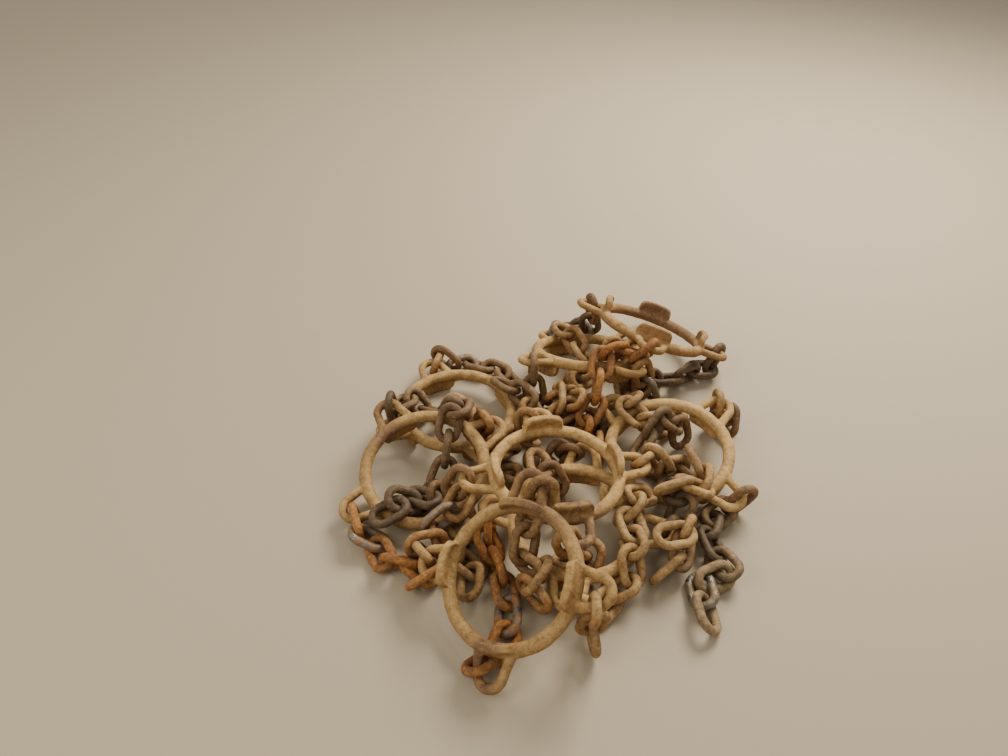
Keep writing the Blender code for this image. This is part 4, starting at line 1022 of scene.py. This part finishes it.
def start_links(laying):
    """Threads the links along their routes and spreads their middle lines."""
    for turn in range(THREAD_ROUNDS):
        laying.thread(1.0, THREAD_STEP)
        laying.home_by(THREAD_HOME if turn < THREAD_HOME_ROUNDS else 0.0, 0.0, HOME_MOST)
        laying.place[:, 2] = np.maximum(laying.place[:, 2], LOWEST_START)
        laying.refresh()
    for turn in range(SPREAD_ROUNDS):
        size = min(1.0, turn / (SPREAD_GROWN * SPREAD_ROUNDS))
        laying.thread(LATER_THREADING, SPREAD_THREAD_STEP)
        laying.spread(size * LINK_SPREAD, size * RING_SPREAD, SPREAD_STEP)
        laying.home_by(SPREAD_HOME_ACROSS, SPREAD_HOME_UP, HOME_MOST)
    for turn in range(GROW_ROUNDS):
        if turn % SEARCH_EVERY == 0:
            laying.search()
        grown = min(1.0, turn / (GROW_GROWN * GROW_ROUNDS))
        laying.thread(LATER_THREADING, GROW_STEP)
        laying.spread(LINK_SPREAD, RING_SPREAD, GROW_STEP)
        laying.part(GROW_FIRST_SIZE + (1 - GROW_FIRST_SIZE) * grown, GROW_SHARE, GROW_STEP)


def sink_links(laying, steps, home):
    """Lowers the links by each step in turn, and parts them and draws them to bear each time."""
    for turn, step in enumerate(steps):
        if turn % SEARCH_EVERY == 0:
            laying.search()
        if step:
            laying.place = laying.place - np.array([0, 0, step])
            laying.home_by(home, 0.0, FALL_HOME_STEP)
        laying.pull(1.0, PULL_STEP)
        laying.part(1.0, PART_SHARE, PART_STEP)
    laying.place = np.round(laying.place, PLACE_DIGITS)
    laying.frame = np.round(laying.frame, FRAME_DIGITS)
    laying.refresh()
    stops = laying.first[1:] + [laying.count]
    return [(laying.place[a:b], laying.frame[a:b]) for a, b in zip(laying.first, stops)]


def lay_links():
    """Lays every run and returns the places and the frames of its links, run by run."""
    bars = RingBars()
    lower = Laying(bars, RUNS)
    start_links(lower)
    laid = sink_links(lower, [FALL_STEP] * FALL_ROUNDS + [0.0] * CALM_ROUNDS, FALL_HOME)
    bars.add_laid_links(lower)
    upper = Laying(bars, UPPER_RUNS)
    start_links(upper)
    fading = [UPPER_FALL_STEP * (1 - turn / UPPER_ROUNDS) for turn in range(UPPER_ROUNDS)]
    return laid + sink_links(upper, fading + [0.0] * UPPER_CALM_ROUNDS, 0.0)


def stadium(straight_stations, arc_stations):
    """Middle line of a link and the way to its inside.

    Two straight sides of twice LINK_HALF are joined by two half circles of radius LINK_ARC. Points
    run counter-clockwise, and the second array is the unit way from each point to the inside.
    """
    share = np.arange(straight_stations) / straight_stations
    turn = np.arange(arc_stations) / arc_stations * math.pi
    x = LINK_HALF - 2 * LINK_HALF * share
    top = np.stack([x, 0 * x + LINK_ARC], axis=1)
    left = np.stack([-LINK_HALF - LINK_ARC * np.sin(turn), LINK_ARC * np.cos(turn)], axis=1)
    half = np.concatenate([top, left])
    inside = np.concatenate([np.stack([0 * x, 0 * x - 1], axis=1),
                             np.stack([np.sin(turn), -np.cos(turn)], axis=1)])
    flat = 0 * np.arange(2 * len(half))
    points = np.concatenate([half, -half])
    ways = np.concatenate([inside, -inside])
    return np.column_stack([points, flat]), np.column_stack([ways, flat])


def round_grid(rows, columns, closed):
    """Four-cornered faces of a grid that closes around its columns, and around its rows if closed."""
    row = np.arange(rows if closed else rows - 1)[:, None]
    column = np.arange(columns)[None]
    after, beside = (row + 1) % rows, (column + 1) % columns
    corners = [row * columns + column, row * columns + beside, after * columns + beside,
               after * columns + column]
    return np.stack(np.broadcast_arrays(*corners), axis=-1).reshape(-1, 4)


def waves(points, phases):
    """Unevenness at points: the sum over all waves of height times sine.

    The sine is of 2 pi times the way along the wave over its length, plus the piece's own phase.
    """
    angle = points @ (WAVE_WAYS * (2 * math.pi / WAVE_LENGTHS)[:, None]).T
    return (np.sin(angle + phases) * WAVE_HEIGHTS).sum(axis=-1)


def wave_table():
    """Unit ways spread at random, wavelengths in even ratios, and heights that add up to about one."""
    chance = np.random.default_rng(RANDOM_SEED)
    ways = chance.normal(size=(WAVE_COUNT, 3))
    ways = ways / np.sqrt((ways ** 2).sum(axis=1))[:, None]
    steps = np.arange(WAVE_COUNT) / (WAVE_COUNT - 1)
    lengths = LONGEST_WAVE * (SHORTEST_WAVE / LONGEST_WAVE) ** steps
    heights = (lengths / LONGEST_WAVE) ** WAVE_FALL
    return ways, lengths, heights / math.sqrt((heights ** 2).sum() / 2)


WAVE_WAYS, WAVE_LENGTHS, WAVE_HEIGHTS = wave_table()


def add_object(name, data):
    """Puts a mesh, a lamp or a camera into the scene."""
    thing = bpy.data.objects.new(name, data)
    bpy.context.scene.collection.objects.link(thing)
    return thing


def inside_box(points):
    """Points held a hair inside the box of the solids, so that the skin rests on the floor."""
    return np.clip(points, np.array(SOLID_BOX[0]) + BOX_MARGIN, np.array(SOLID_BOX[1]) - BOX_MARGIN)


def finished_piece(name, points, faces, marks, slot):
    """A smooth mesh object in its rust, with one number per point for each mark."""
    mesh = bpy.data.meshes.new(name)
    mesh.from_pydata(points.tolist(), [], faces.tolist())
    for mark, values in marks.items():
        mesh.attributes.new(mark, "FLOAT", "POINT").data.foreach_set("value", values.astype(np.float32))
    mesh.shade_smooth()
    mesh.update()
    mesh.materials.append(FINISHES[slot])
    return add_object(name, mesh)


def link_skin(name, places, frames, chance):
    """Skins of all links of a run, and their marks.

    A point is the middle line's point plus the radius times (cosine of the side's angle towards the
    inside, sine of it across). The radius swells around the weld on one long side, is hollowed on
    the inside of both noses, and carries the waves.
    """
    line, inside = stadium(LINK_STRAIGHT_STATIONS, LINK_ARC_STATIONS)
    angle = evenly_turned(LINK_SKIN_SIDES)
    across = np.array([0.0, 0.0, 1.0])
    out = np.cos(angle)[None, :, None] * inside[:, None] + np.sin(angle)[None, :, None] * across
    weld = np.exp(-(line[:, 0] / WELD_LENGTH) ** 2) * (line[:, 1] > 0)
    nose = np.exp(-(line[:, 1] / WORN_LENGTH) ** 2) * (np.abs(line[:, 0]) > LINK_HALF)
    worn = nose[:, None] * np.maximum(0, np.cos(angle))[None] ** 2
    radius = LINK_SKIN + WELD_SWELL * weld[:, None] - WORN_HOLLOW * worn
    smooth = line[:, None] + radius[..., None] * out
    count = len(places)
    phases = chance.uniform(0, 2 * math.pi, (count, 1, 1, WAVE_COUNT))
    rough = LINK_ROUGH * waves(smooth[None], phases)
    local_points = (smooth[None] + rough[..., None] * out[None]).reshape(count, -1, 3)
    points = places[:, None] + turned(frames[:, None], local_points)
    size = local_points.shape[1]
    faces = round_grid(len(line), LINK_SKIN_SIDES, True)
    faces = (faces[None] + size * np.arange(count)[:, None, None]).reshape(-1, 4)
    polish = (chance.uniform(0, 1, count) < POLISHED_SHARE).astype(float)
    tone = chance.uniform(0, 1, count)
    dark_share = MANY_DARK_SHARE if name in MANY_DARK_RUNS else 0.0 if name in ORANGE_RUNS else DARK_SHARE
    dark = np.clip((dark_share - chance.uniform(0, 1, count)) / DARK_CUT + 0.5, 0, 1)
    ends = np.arange(count) >= count - PALE_ENDS.get(name, 0)
    pale = np.maximum(ends, PALE_RUNS.get(name, 0.0))
    marks = {"tone": tone, "polish": polish, "dark": dark, "pale": pale}
    marks = {mark: np.repeat(values, size) for mark, values in marks.items()}
    marks["wear"] = np.tile(worn.reshape(-1), count)
    return points.reshape(-1, 3), faces, marks


def ring_skin():
    """The round bar: a circle of RING_RADIUS with a circle of RING_SKIN carried around it."""
    around, side = evenly_turned(RING_SKIN_STATIONS), evenly_turned(RING_SKIN_SIDES)
    reach = RING_RADIUS + RING_SKIN * np.cos(side)[None]
    points = np.stack([reach * np.cos(around)[:, None], reach * np.sin(around)[:, None],
                       0 * reach + RING_SKIN * np.sin(side)[None] + 0 * around[:, None]], axis=-1)
    return points.reshape(-1, 3), round_grid(RING_SKIN_STATIONS, RING_SKIN_SIDES, True)


def lug_skin():
    """The lug: a bar carried from one foot, half around the eye and back to the other foot.

    The legs are straight from the feet on the ring to the eye's half circle, which they touch.
    """
    turn = np.linspace(-math.pi / 2, math.pi / 2, LUG_SKIN_STATIONS // 2)
    eye = np.stack([EYE_FROM_MIDDLE + EYE_ARC * np.cos(turn), EYE_ARC * np.sin(turn)], axis=1)
    share = np.linspace(0, 1, LUG_SKIN_STATIONS // 4, endpoint=False)[:, None]
    foot = np.array([RING_RADIUS, -LUG_FOOT])
    leg = foot + (eye[0] - foot) * share
    line = np.concatenate([leg, eye, (leg * (1, -1))[::-1]])
    along = np.gradient(line, axis=0)
    along = along / np.sqrt((along ** 2).sum(axis=1))[:, None]
    aside = np.stack([-along[:, 1], along[:, 0]], axis=1)
    side = evenly_turned(LUG_SKIN_SIDES)
    flat = line[:, None] + LUG_SKIN * np.cos(side)[None, :, None] * aside[:, None]
    up = np.broadcast_to(LUG_SKIN * np.sin(side)[None], flat.shape[:2])
    return capped(np.concatenate([flat, up[..., None]], axis=-1))


def pad_skin():
    """The pad: a rounded upright section carried along an arc of the ring.

    The section's width and height go with the cosine and the sine to the power PAD_SQUARENESS, and
    its waist under the cap is narrower by an ease 3 c ** 2 - 2 c ** 3. The pad's height is PAD_HEIGHT
    times (1 - share ** f) ** (1 / f), where share is the way to its end and f is PAD_FULLNESS.
    """
    share = np.sin(np.linspace(-math.pi / 2, math.pi / 2, PAD_SKIN_STATIONS))
    arc = share * (PAD_HALF - PAD_SKIN_INSET)
    full = np.maximum(0, 1 - np.abs(share) ** PAD_FULLNESS) ** (1 / PAD_FULLNESS)
    height = (PAD_HEIGHT - PAD_SKIN_INSET) * np.maximum(full, PAD_TOE / PAD_HEIGHT)
    side = evenly_turned(PAD_SKIN_SIDES)
    wide, tall = (np.sign(wave) * np.abs(wave) ** PAD_SQUARENESS for wave in (np.cos(side), np.sin(side)))
    tall = (tall + 1) / 2
    cap = np.clip((tall - PAD_CAP_START) / (PAD_CAP_FULL - PAD_CAP_START), 0, 1)
    waist = PAD_WAIST + (1 - PAD_WAIST) * cap * cap * (3 - 2 * cap)
    across = (PAD_THICK / 2 - PAD_SKIN_INSET) * wide * waist
    reach = RING_RADIUS + across[None]
    turn = arc[:, None] / RING_RADIUS
    points = np.stack([reach * np.cos(turn), reach * np.sin(turn), height[:, None] * tall[None]], axis=-1)
    return capped(points)


def capped(points):
    """Grid of rows of points around a bar, closed at both ends by a fan to the middle of the row."""
    rows, columns = points.shape[:2]
    faces = round_grid(rows, columns, False)
    centres = points[[0, -1]].mean(axis=1)
    first = rows * columns
    here = np.arange(columns)
    beside = (here + 1) % columns
    start = np.stack([0 * here + first, beside, here, here], axis=1)
    stop = np.stack([0 * here + first + 1, here + first - columns, beside + first - columns,
                     beside + first - columns], axis=1)
    return np.concatenate([points.reshape(-1, 3), centres]), np.concatenate([faces, start, stop])


def forging():
    """Ring, lugs and pads grown together with soft fillets, as points, ways out and faces.

    The ring lies flat with its pads on top. Faces that a fan has closed lose their doubled corner.
    """
    shells = [ring_skin()]
    for index in range(LUG_COUNT):
        for points, faces in (lug_skin(), pad_skin()):
            shells.append((points @ lug_turn(index).T, faces))
    offsets = np.cumsum([0] + [len(points) for points, faces in shells[:-1]])
    points = np.concatenate([points for points, faces in shells])
    faces = np.concatenate([faces + offset for (_, faces), offset in zip(shells, offsets)])
    rows = [list(dict.fromkeys(row)) for row in faces.tolist()]
    mesh = bpy.data.meshes.new("forging")
    mesh.from_pydata(points.tolist(), [], rows)
    body = add_object("forging", mesh)
    upright = bmesh.new()
    upright.from_mesh(mesh)
    bmesh.ops.recalc_face_normals(upright, faces=upright.faces)
    upright.to_mesh(mesh)
    upright.free()
    remesh = body.modifiers.new("grow_together", "REMESH")
    remesh.mode = "VOXEL"
    remesh.voxel_size = FORGING_VOXEL
    ease = body.modifiers.new("fillets", "SMOOTH")
    ease.factor = FORGING_EASE
    ease.iterations = FORGING_SMOOTHING
    grown = bpy.data.meshes.new_from_object(body.evaluated_get(bpy.context.evaluated_depsgraph_get()))
    bpy.data.objects.remove(body)
    skin, ways = np.zeros((2, len(grown.vertices) * 3))
    grown.vertices.foreach_get("co", skin)
    grown.vertex_normals.foreach_get("vector", ways)
    corners = np.zeros(len(grown.loops), int)
    grown.loops.foreach_get("vertex_index", corners)
    return skin.reshape(-1, 3), ways.reshape(-1, 3), corners.reshape(-1, 4)


def crowd_table(runs):
    """How crowded each cell of a grid over the heap is, for the painted shade.

    Stations on the middle lines of all links and rings are counted by cell, and the counts are
    smoothed along each axis with the weights 1, 2, 1.
    """
    line, _ = stadium(LINK_STRAIGHT_STATIONS, LINK_ARC_STATIONS)
    stations = [(places[:, None] + turned(frames[:, None], line[None])).reshape(-1, 3)
                for places, frames in runs]
    weights = [np.ones(len(points)) for points in stations]
    around = evenly_turned(RING_SKIN_STATIONS)
    circle = RING_RADIUS * np.stack([np.cos(around), np.sin(around), 0 * around], axis=1)
    for middle, tilt, lean, spin, _ in RINGS.values():
        stations.append(circle @ ring_frame(tilt, lean, spin).T + np.array(middle))
        weights.append(np.full(len(circle), CROWD_RING_WEIGHT))
    stations, weights = np.concatenate(stations) - ORIGIN, np.concatenate(weights)
    low = stations.min(axis=0) - (CROWD_ROUNDS + 2) * CROWD_CELL
    cells = ((stations - low) / CROWD_CELL + 0.5).astype(int)
    table = np.zeros(cells.max(axis=0) + CROWD_ROUNDS + 4)
    np.add.at(table, tuple(cells.T), weights)
    for axis in (0, 1, 2) * CROWD_ROUNDS:
        table = (np.roll(table, 1, axis) + 2 * table + np.roll(table, -1, axis)) / 4
    return low, table / np.quantile(table[tuple(cells.T)], CROWD_FULL)


def crowded(points, crowd):
    """Crowdedness a little above each point, drawn straight between the grid's eight nearest cells; it sets
    the painted shade.
    """
    low, table = crowd
    at = (points + (0, 0, CROWD_ABOVE) - low) / CROWD_CELL
    at = np.clip(at, 0, np.array(table.shape) - CROWD_EDGE)
    first = at.astype(int)
    part = at - first
    total = np.zeros(len(points))
    for corner in np.ndindex(2, 2, 2):
        share = np.where(corner, part, 1 - part).prod(axis=1)
        total += share * table[tuple((first + corner).T)]
    return np.clip(total, 0, 1)


def stained(name, laid):
    """Mark of a ring's stains: full near the middle of each stretch and fading to its reach."""
    way = np.degrees(np.arctan2(laid[:, 1], laid[:, 0]))
    stain = 0 * way
    for stain_middle, stain_half in STAINS.get(name, []):
        away = np.abs((way - stain_middle + 180) % 360 - 180) / stain_half
        stain = np.maximum(stain, np.clip(STAIN_REACH - away, 0, 1))
    return stain


def add_finished_rings(chance, crowd):
    """The eight rings, each the same forging with its own unevenness, place and marks."""
    points, ways, faces = forging()
    from_middle = np.sqrt(points[:, 0] ** 2 + points[:, 1] ** 2)
    top = (points[:, 2] - TOP_WEAR_START * PAD_HEIGHT) / (TOP_WEAR_HEIGHT * PAD_HEIGHT)
    eye = np.clip((from_middle - EYE_FROM_MIDDLE) / EYE_ARC, 0, 1)
    eye = eye * np.clip((EYE_FROM_MIDDLE + EYE_ARC - from_middle) / LUG_SKIN, 0, 1)
    wear = np.maximum(TOP_WEAR * np.clip(top, 0, 1), EYE_WEAR * eye)
    for name, (middle, tilt, lean, spin, pads_up) in RINGS.items():
        over = np.diag([1.0, 1.0, 1.0] if pads_up else [1.0, -1.0, -1.0])
        phases = chance.uniform(0, 2 * math.pi, (1, WAVE_COUNT))
        skin = points + RING_ROUGH * waves(points, phases)[:, None] * ways
        turned_skin = skin @ (ring_frame(tilt, lean, spin) @ over).T
        laid = inside_box(turned_skin + (np.array(middle) - ORIGIN))
        evenly = {"tone": chance.uniform(), "pale": PALE_RINGS.get(name, 0.0),
                  "dark": DARK_RINGS.get(name, 0.0)}
        marks = {mark: np.full(len(points), value) for mark, value in evenly.items()}
        # shade: painted shade, darker where the heap is crowded around and above the point
        marks.update(wear=wear, shade=crowded(laid, crowd), stain=stained(name, turned_skin))
        piece = finished_piece(name + "_skin", laid, faces, marks, "ring_rust")
        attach(piece, "root")
        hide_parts(name)


def add_finished_runs(chance, laid, crowd):
    """The runs of links, each in its own rust."""
    for run, (places, frames) in zip(RUNS + UPPER_RUNS, laid):
        name = run[0]
        points, faces, marks = link_skin(name, places - ORIGIN, frames, chance)
        points = inside_box(points)
        # shade: painted shade, darker where the heap is crowded around and above the point
        marks["shade"] = crowded(points, crowd)
        slot = "orange_rust" if name in ORANGE_RUNS else "dark_rust" if name in DARK_RUNS else "dusty_rust"
        piece = finished_piece(name + "_skin", points, faces, marks, slot)
        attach(piece, "root")
        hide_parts(name)


class Finish:
    """A material in the making: its marks, its patterns and the sums over them."""

    def __init__(self, name):
        self.material = bpy.data.materials.new(name)
        self.material.use_nodes = True
        self.tree = self.material.node_tree
        self.shader = self.tree.nodes["Principled BSDF"]
        self.made = 0
        self.mark = {mark: self.add("ShaderNodeAttribute", attribute_name=mark).outputs["Fac"]
                     for mark in MARKS}
        place = self.add("ShaderNodeTexCoord").outputs["Object"]
        self.pattern = {name: self.noise(place, *values) for name, values in PATTERNS.items()}
        normal = self.add("ShaderNodeNewGeometry").outputs["Normal"]
        self.upward = self.add("ShaderNodeSeparateXYZ", {"Vector": normal}).outputs["Z"]

    def add(self, kind, feeds=None, **settings):
        """A node in the next place of the grid, with its settings and what feeds its inputs."""
        node = self.tree.nodes.new(kind)
        row, column = divmod(self.made, NODE_COLUMNS)
        node.location = (NODE_ACROSS * (column - NODE_COLUMNS), -NODE_DOWN * row)
        self.made += 1
        for name, value in settings.items():
            setattr(node, name, value)
        for name, value in (feeds or {}).items():
            self.feed(node.inputs[name], value)
        return node

    def feed(self, socket, value):
        """Gives a socket a number, a colour or another node's result."""
        if isinstance(value, tuple):
            socket.default_value = (*value, 1)
        elif isinstance(value, (int, float)):
            socket.default_value = value
        else:
            self.tree.links.new(value, socket)

    def noise(self, place, scale, detail, roughness):
        """A pattern over the object's own coordinates."""
        feeds = {"Vector": place, "Scale": scale, "Detail": detail, "Roughness": roughness}
        return self.add("ShaderNodeTexNoise", feeds).outputs["Fac"]

    def times(self, first, second, more=None, operation="MULTIPLY"):
        """First times second, plus more where it is given, held between 0 and 1."""
        feeds = {0: first, 1: second}
        if more is not None:
            feeds[2] = more
            operation = "MULTIPLY_ADD"
        return self.add("ShaderNodeMath", feeds, operation=operation, use_clamp=True).outputs["Value"]

    def share(self, value, span):
        """Share that goes from 0 at the span's start to 1 at its end."""
        feeds = {"Value": value, "From Min": span[0], "From Max": span[1]}
        return self.add("ShaderNodeMapRange", feeds).outputs["Result"]

    def shown(self, name, span):
        """How much a pattern shows, by a span of it."""
        return self.share(self.pattern[name], span)

    def mixed(self, share, first, second):
        """The first colour where the share is 0 and the second where it is 1."""
        return self.add("ShaderNodeMix", {0: share, 6: first, 7: second}, data_type="RGBA").outputs[2]

    def bumps(self, height, form, **under):
        """Ways out of the surface, tipped by a height of some strength and depth."""
        feeds = {"Strength": form[0], "Distance": form[1], "Height": height, **under}
        return self.add("ShaderNodeBump", feeds).outputs["Normal"]


def moved(span, amount):
    """The span moved down."""
    return span[0] - amount, span[1] - amount


def rusted(finish, old, fresh, deep_rust_and_shade, fresh_share, mottling):
    """Colour of the bare rust: old with patches and spots of fresh, and the darkest rust in mottles, grain
    and pits.
    """
    toned = finish.times(finish.pattern["patches"], PATCH_WEIGHT)
    toned = finish.times(finish.pattern["wide"], WIDE_WEIGHT, toned)
    toned = finish.times(finish.mark["tone"], TONE_WEIGHT, toned)
    body = finish.mixed(finish.share(toned, moved(FRESH_SPAN, FRESH_MOVE * fresh_share)), old, fresh)
    body = finish.mixed(finish.times(finish.mark["dark"], DARK_MOST), body, DARK_LINK)
    mottled = finish.times(finish.shown("mottle", MOTTLE_SPAN), mottling, 1.0 - mottling)
    faded = finish.times(finish.shown("fade", FADE_SPAN), FADE_MOST, 1.0 - FADE_MOST)
    body = finish.mixed(finish.times(mottled, faded), deep_rust_and_shade, body)
    body = finish.mixed(finish.shown("grain", GRAIN_SPAN), deep_rust_and_shade, body)
    body = finish.mixed(finish.shown("pits", PIT_SPAN), deep_rust_and_shade, body)
    return finish.mixed(finish.times(finish.shown("grain", SPOT_SPAN), SPOT_MOST), body, fresh)


def dusted(finish, body, dust, dust_share, mottling):
    """Dust on what faces up, in wide patches with gaps, less on dark links and more on pale ones."""
    settled = finish.shown("wide", moved(DUST_SPAN, DUST_MOVE * dust_share))
    dusty = finish.times(finish.share(finish.upward, UPWARD_SPAN), settled)
    dusty = finish.times(dusty, finish.shown("patches", DUST_PATCH_SPAN))
    dusty = finish.times(dusty, finish.shown("pits", DUST_PIT_SPAN))
    dusty = finish.times(finish.times(dusty, finish.mark["dark"]), -DARK_DUST_LOSS, dusty)
    coated = finish.times(finish.mark["pale"], finish.shown("mottle", PALE_SPAN))
    dusty = finish.times(coated, PALE_MOST, dusty)
    broken = finish.times(finish.shown("grain", DUST_GRAIN_SPAN), mottling, 1.0 - mottling)
    return finish.mixed(finish.times(dusty, broken), body, dust)


def stained_and_shaded(finish, body, deep_rust_and_shade):
    """Dark red stains with pale flecks, and painted shade towards the darkest rust colour where the heap is
    crowded.
    """
    red = finish.times(finish.mark["stain"], finish.shown("patches", STAIN_SPAN))
    body = finish.mixed(red, body, STAIN)
    body = finish.mixed(finish.times(red, finish.shown("grain", FLECK_SPAN)), body, FLECK)
    # Painted shade: crowded places darkened towards the darkest rust colour
    return finish.mixed(finish.times(finish.share(finish.mark["shade"], SHADE_SPAN), SHADE_MOST), body, deep_rust_and_shade)


def bare_steel(finish, steel_share):
    """Share of bare steel: where links wear in scattered rubs, and on links that are rubbed bright."""
    worn = finish.times(finish.mark["wear"], finish.shown("rubbing", RUBBING_SPAN))
    worn = finish.share(worn, moved(STEEL_SPAN, STEEL_MOVE * steel_share))
    bright = finish.times(finish.mark["polish"], finish.shown("patches", POLISH_SPAN))
    return finish.times(worn, bright, operation="MAXIMUM")


def rust_material(name, old, fresh, deep_rust_and_shade, dust, fresh_share, dust_share, steel_share, dullness, mottling):
    """One rust, from its colours and shares, with grain and pits as bumps."""
    finish = Finish(name)
    body = rusted(finish, old, fresh, deep_rust_and_shade, fresh_share, mottling)
    body = dusted(finish, body, dust, dust_share, mottling)
    # Real stains, then painted shade where the heap is crowded
    body = stained_and_shaded(finish, body, deep_rust_and_shade)
    bare = bare_steel(finish, steel_share)
    dull = finish.times(finish.shown("grain", DULL_SPAN), GRAIN_DULLNESS, dullness)
    dull = finish.times(finish.mark["dark"], DARK_DULLNESS, dull)
    coarse = finish.bumps(finish.pattern["grain"], COARSE_BUMPS)
    surface = {"Base Color": finish.mixed(bare, body, BARE_STEEL),
               "Roughness": finish.times(bare, STEEL_DULLNESS, dull),
               "Metallic": finish.times(bare, STEEL_METALLIC),
               "Specular IOR Level": RUST_SPECULAR,
               "Normal": finish.bumps(finish.pattern["pits"], FINE_BUMPS, Normal=coarse)}
    for socket, value in surface.items():
        finish.feed(finish.shader.inputs[socket], value)
    return finish.material


FINISHES = {name: rust_material(name, **values) for name, values in RUSTS.items()}


def add_floor():
    """A plain pale floor."""
    mesh = bpy.data.meshes.new("floor")
    h = FLOOR_HALF
    mesh.from_pydata([(-h, -h, 0), (h, -h, 0), (h, h, 0), (-h, h, 0)], [], [(0, 1, 2, 3)])
    material = bpy.data.materials.new("floor")
    material.use_nodes = True
    shader = material.node_tree.nodes["Principled BSDF"]
    shader.inputs["Base Color"].default_value = FLOOR_COLOUR
    shader.inputs["Roughness"].default_value = FLOOR_ROUGHNESS
    mesh.materials.append(material)
    floor = add_object("floor", mesh)


def add_lamp(name, place, size, power, colour):
    """A round soft lamp that shines on the heap."""
    lamp = bpy.data.lights.new(name, "AREA")
    lamp.shape = "DISK"
    lamp.size = size
    lamp.energy = power
    lamp.color = colour
    thing = add_object(name, lamp)
    thing.location = place
    thing.rotation_euler = (Vector(LIGHT_AIM) - Vector(place)).to_track_quat("-Z", "Y").to_euler()


def add_camera():
    """The camera at standing height, looking down at the heap."""
    lens = bpy.data.cameras.new("camera")
    lens.lens = CAMERA_LENS
    lens.sensor_width = CAMERA_SENSOR
    lens.shift_x = CAMERA_SHIFT
    camera = add_object("camera", lens)
    camera.location = CAMERA_PLACE
    camera.rotation_euler = (math.radians(CAMERA_DOWN), 0, 0)
    bpy.context.scene.camera = camera


def add_daylight():
    """Even light from all around, with a warm key lamp from behind and a weak fill lamp."""
    world = bpy.data.worlds.new("soft_light")
    world.use_nodes = True
    sky = world.node_tree.nodes["Background"]
    sky.inputs["Color"].default_value = SKY_COLOUR
    sky.inputs["Strength"].default_value = SKY_STRENGTH
    bpy.context.scene.world = world
    for name, values in LAMPS.items():
        add_lamp(name, *values)


add_camera()
add_floor()
add_daylight()
CHANCE = np.random.default_rng(RANDOM_SEED)
LAID = lay_links()
CROWD = crowd_table(LAID)
add_finished_rings(CHANCE, CROWD)
add_finished_runs(CHANCE, LAID, CROWD)
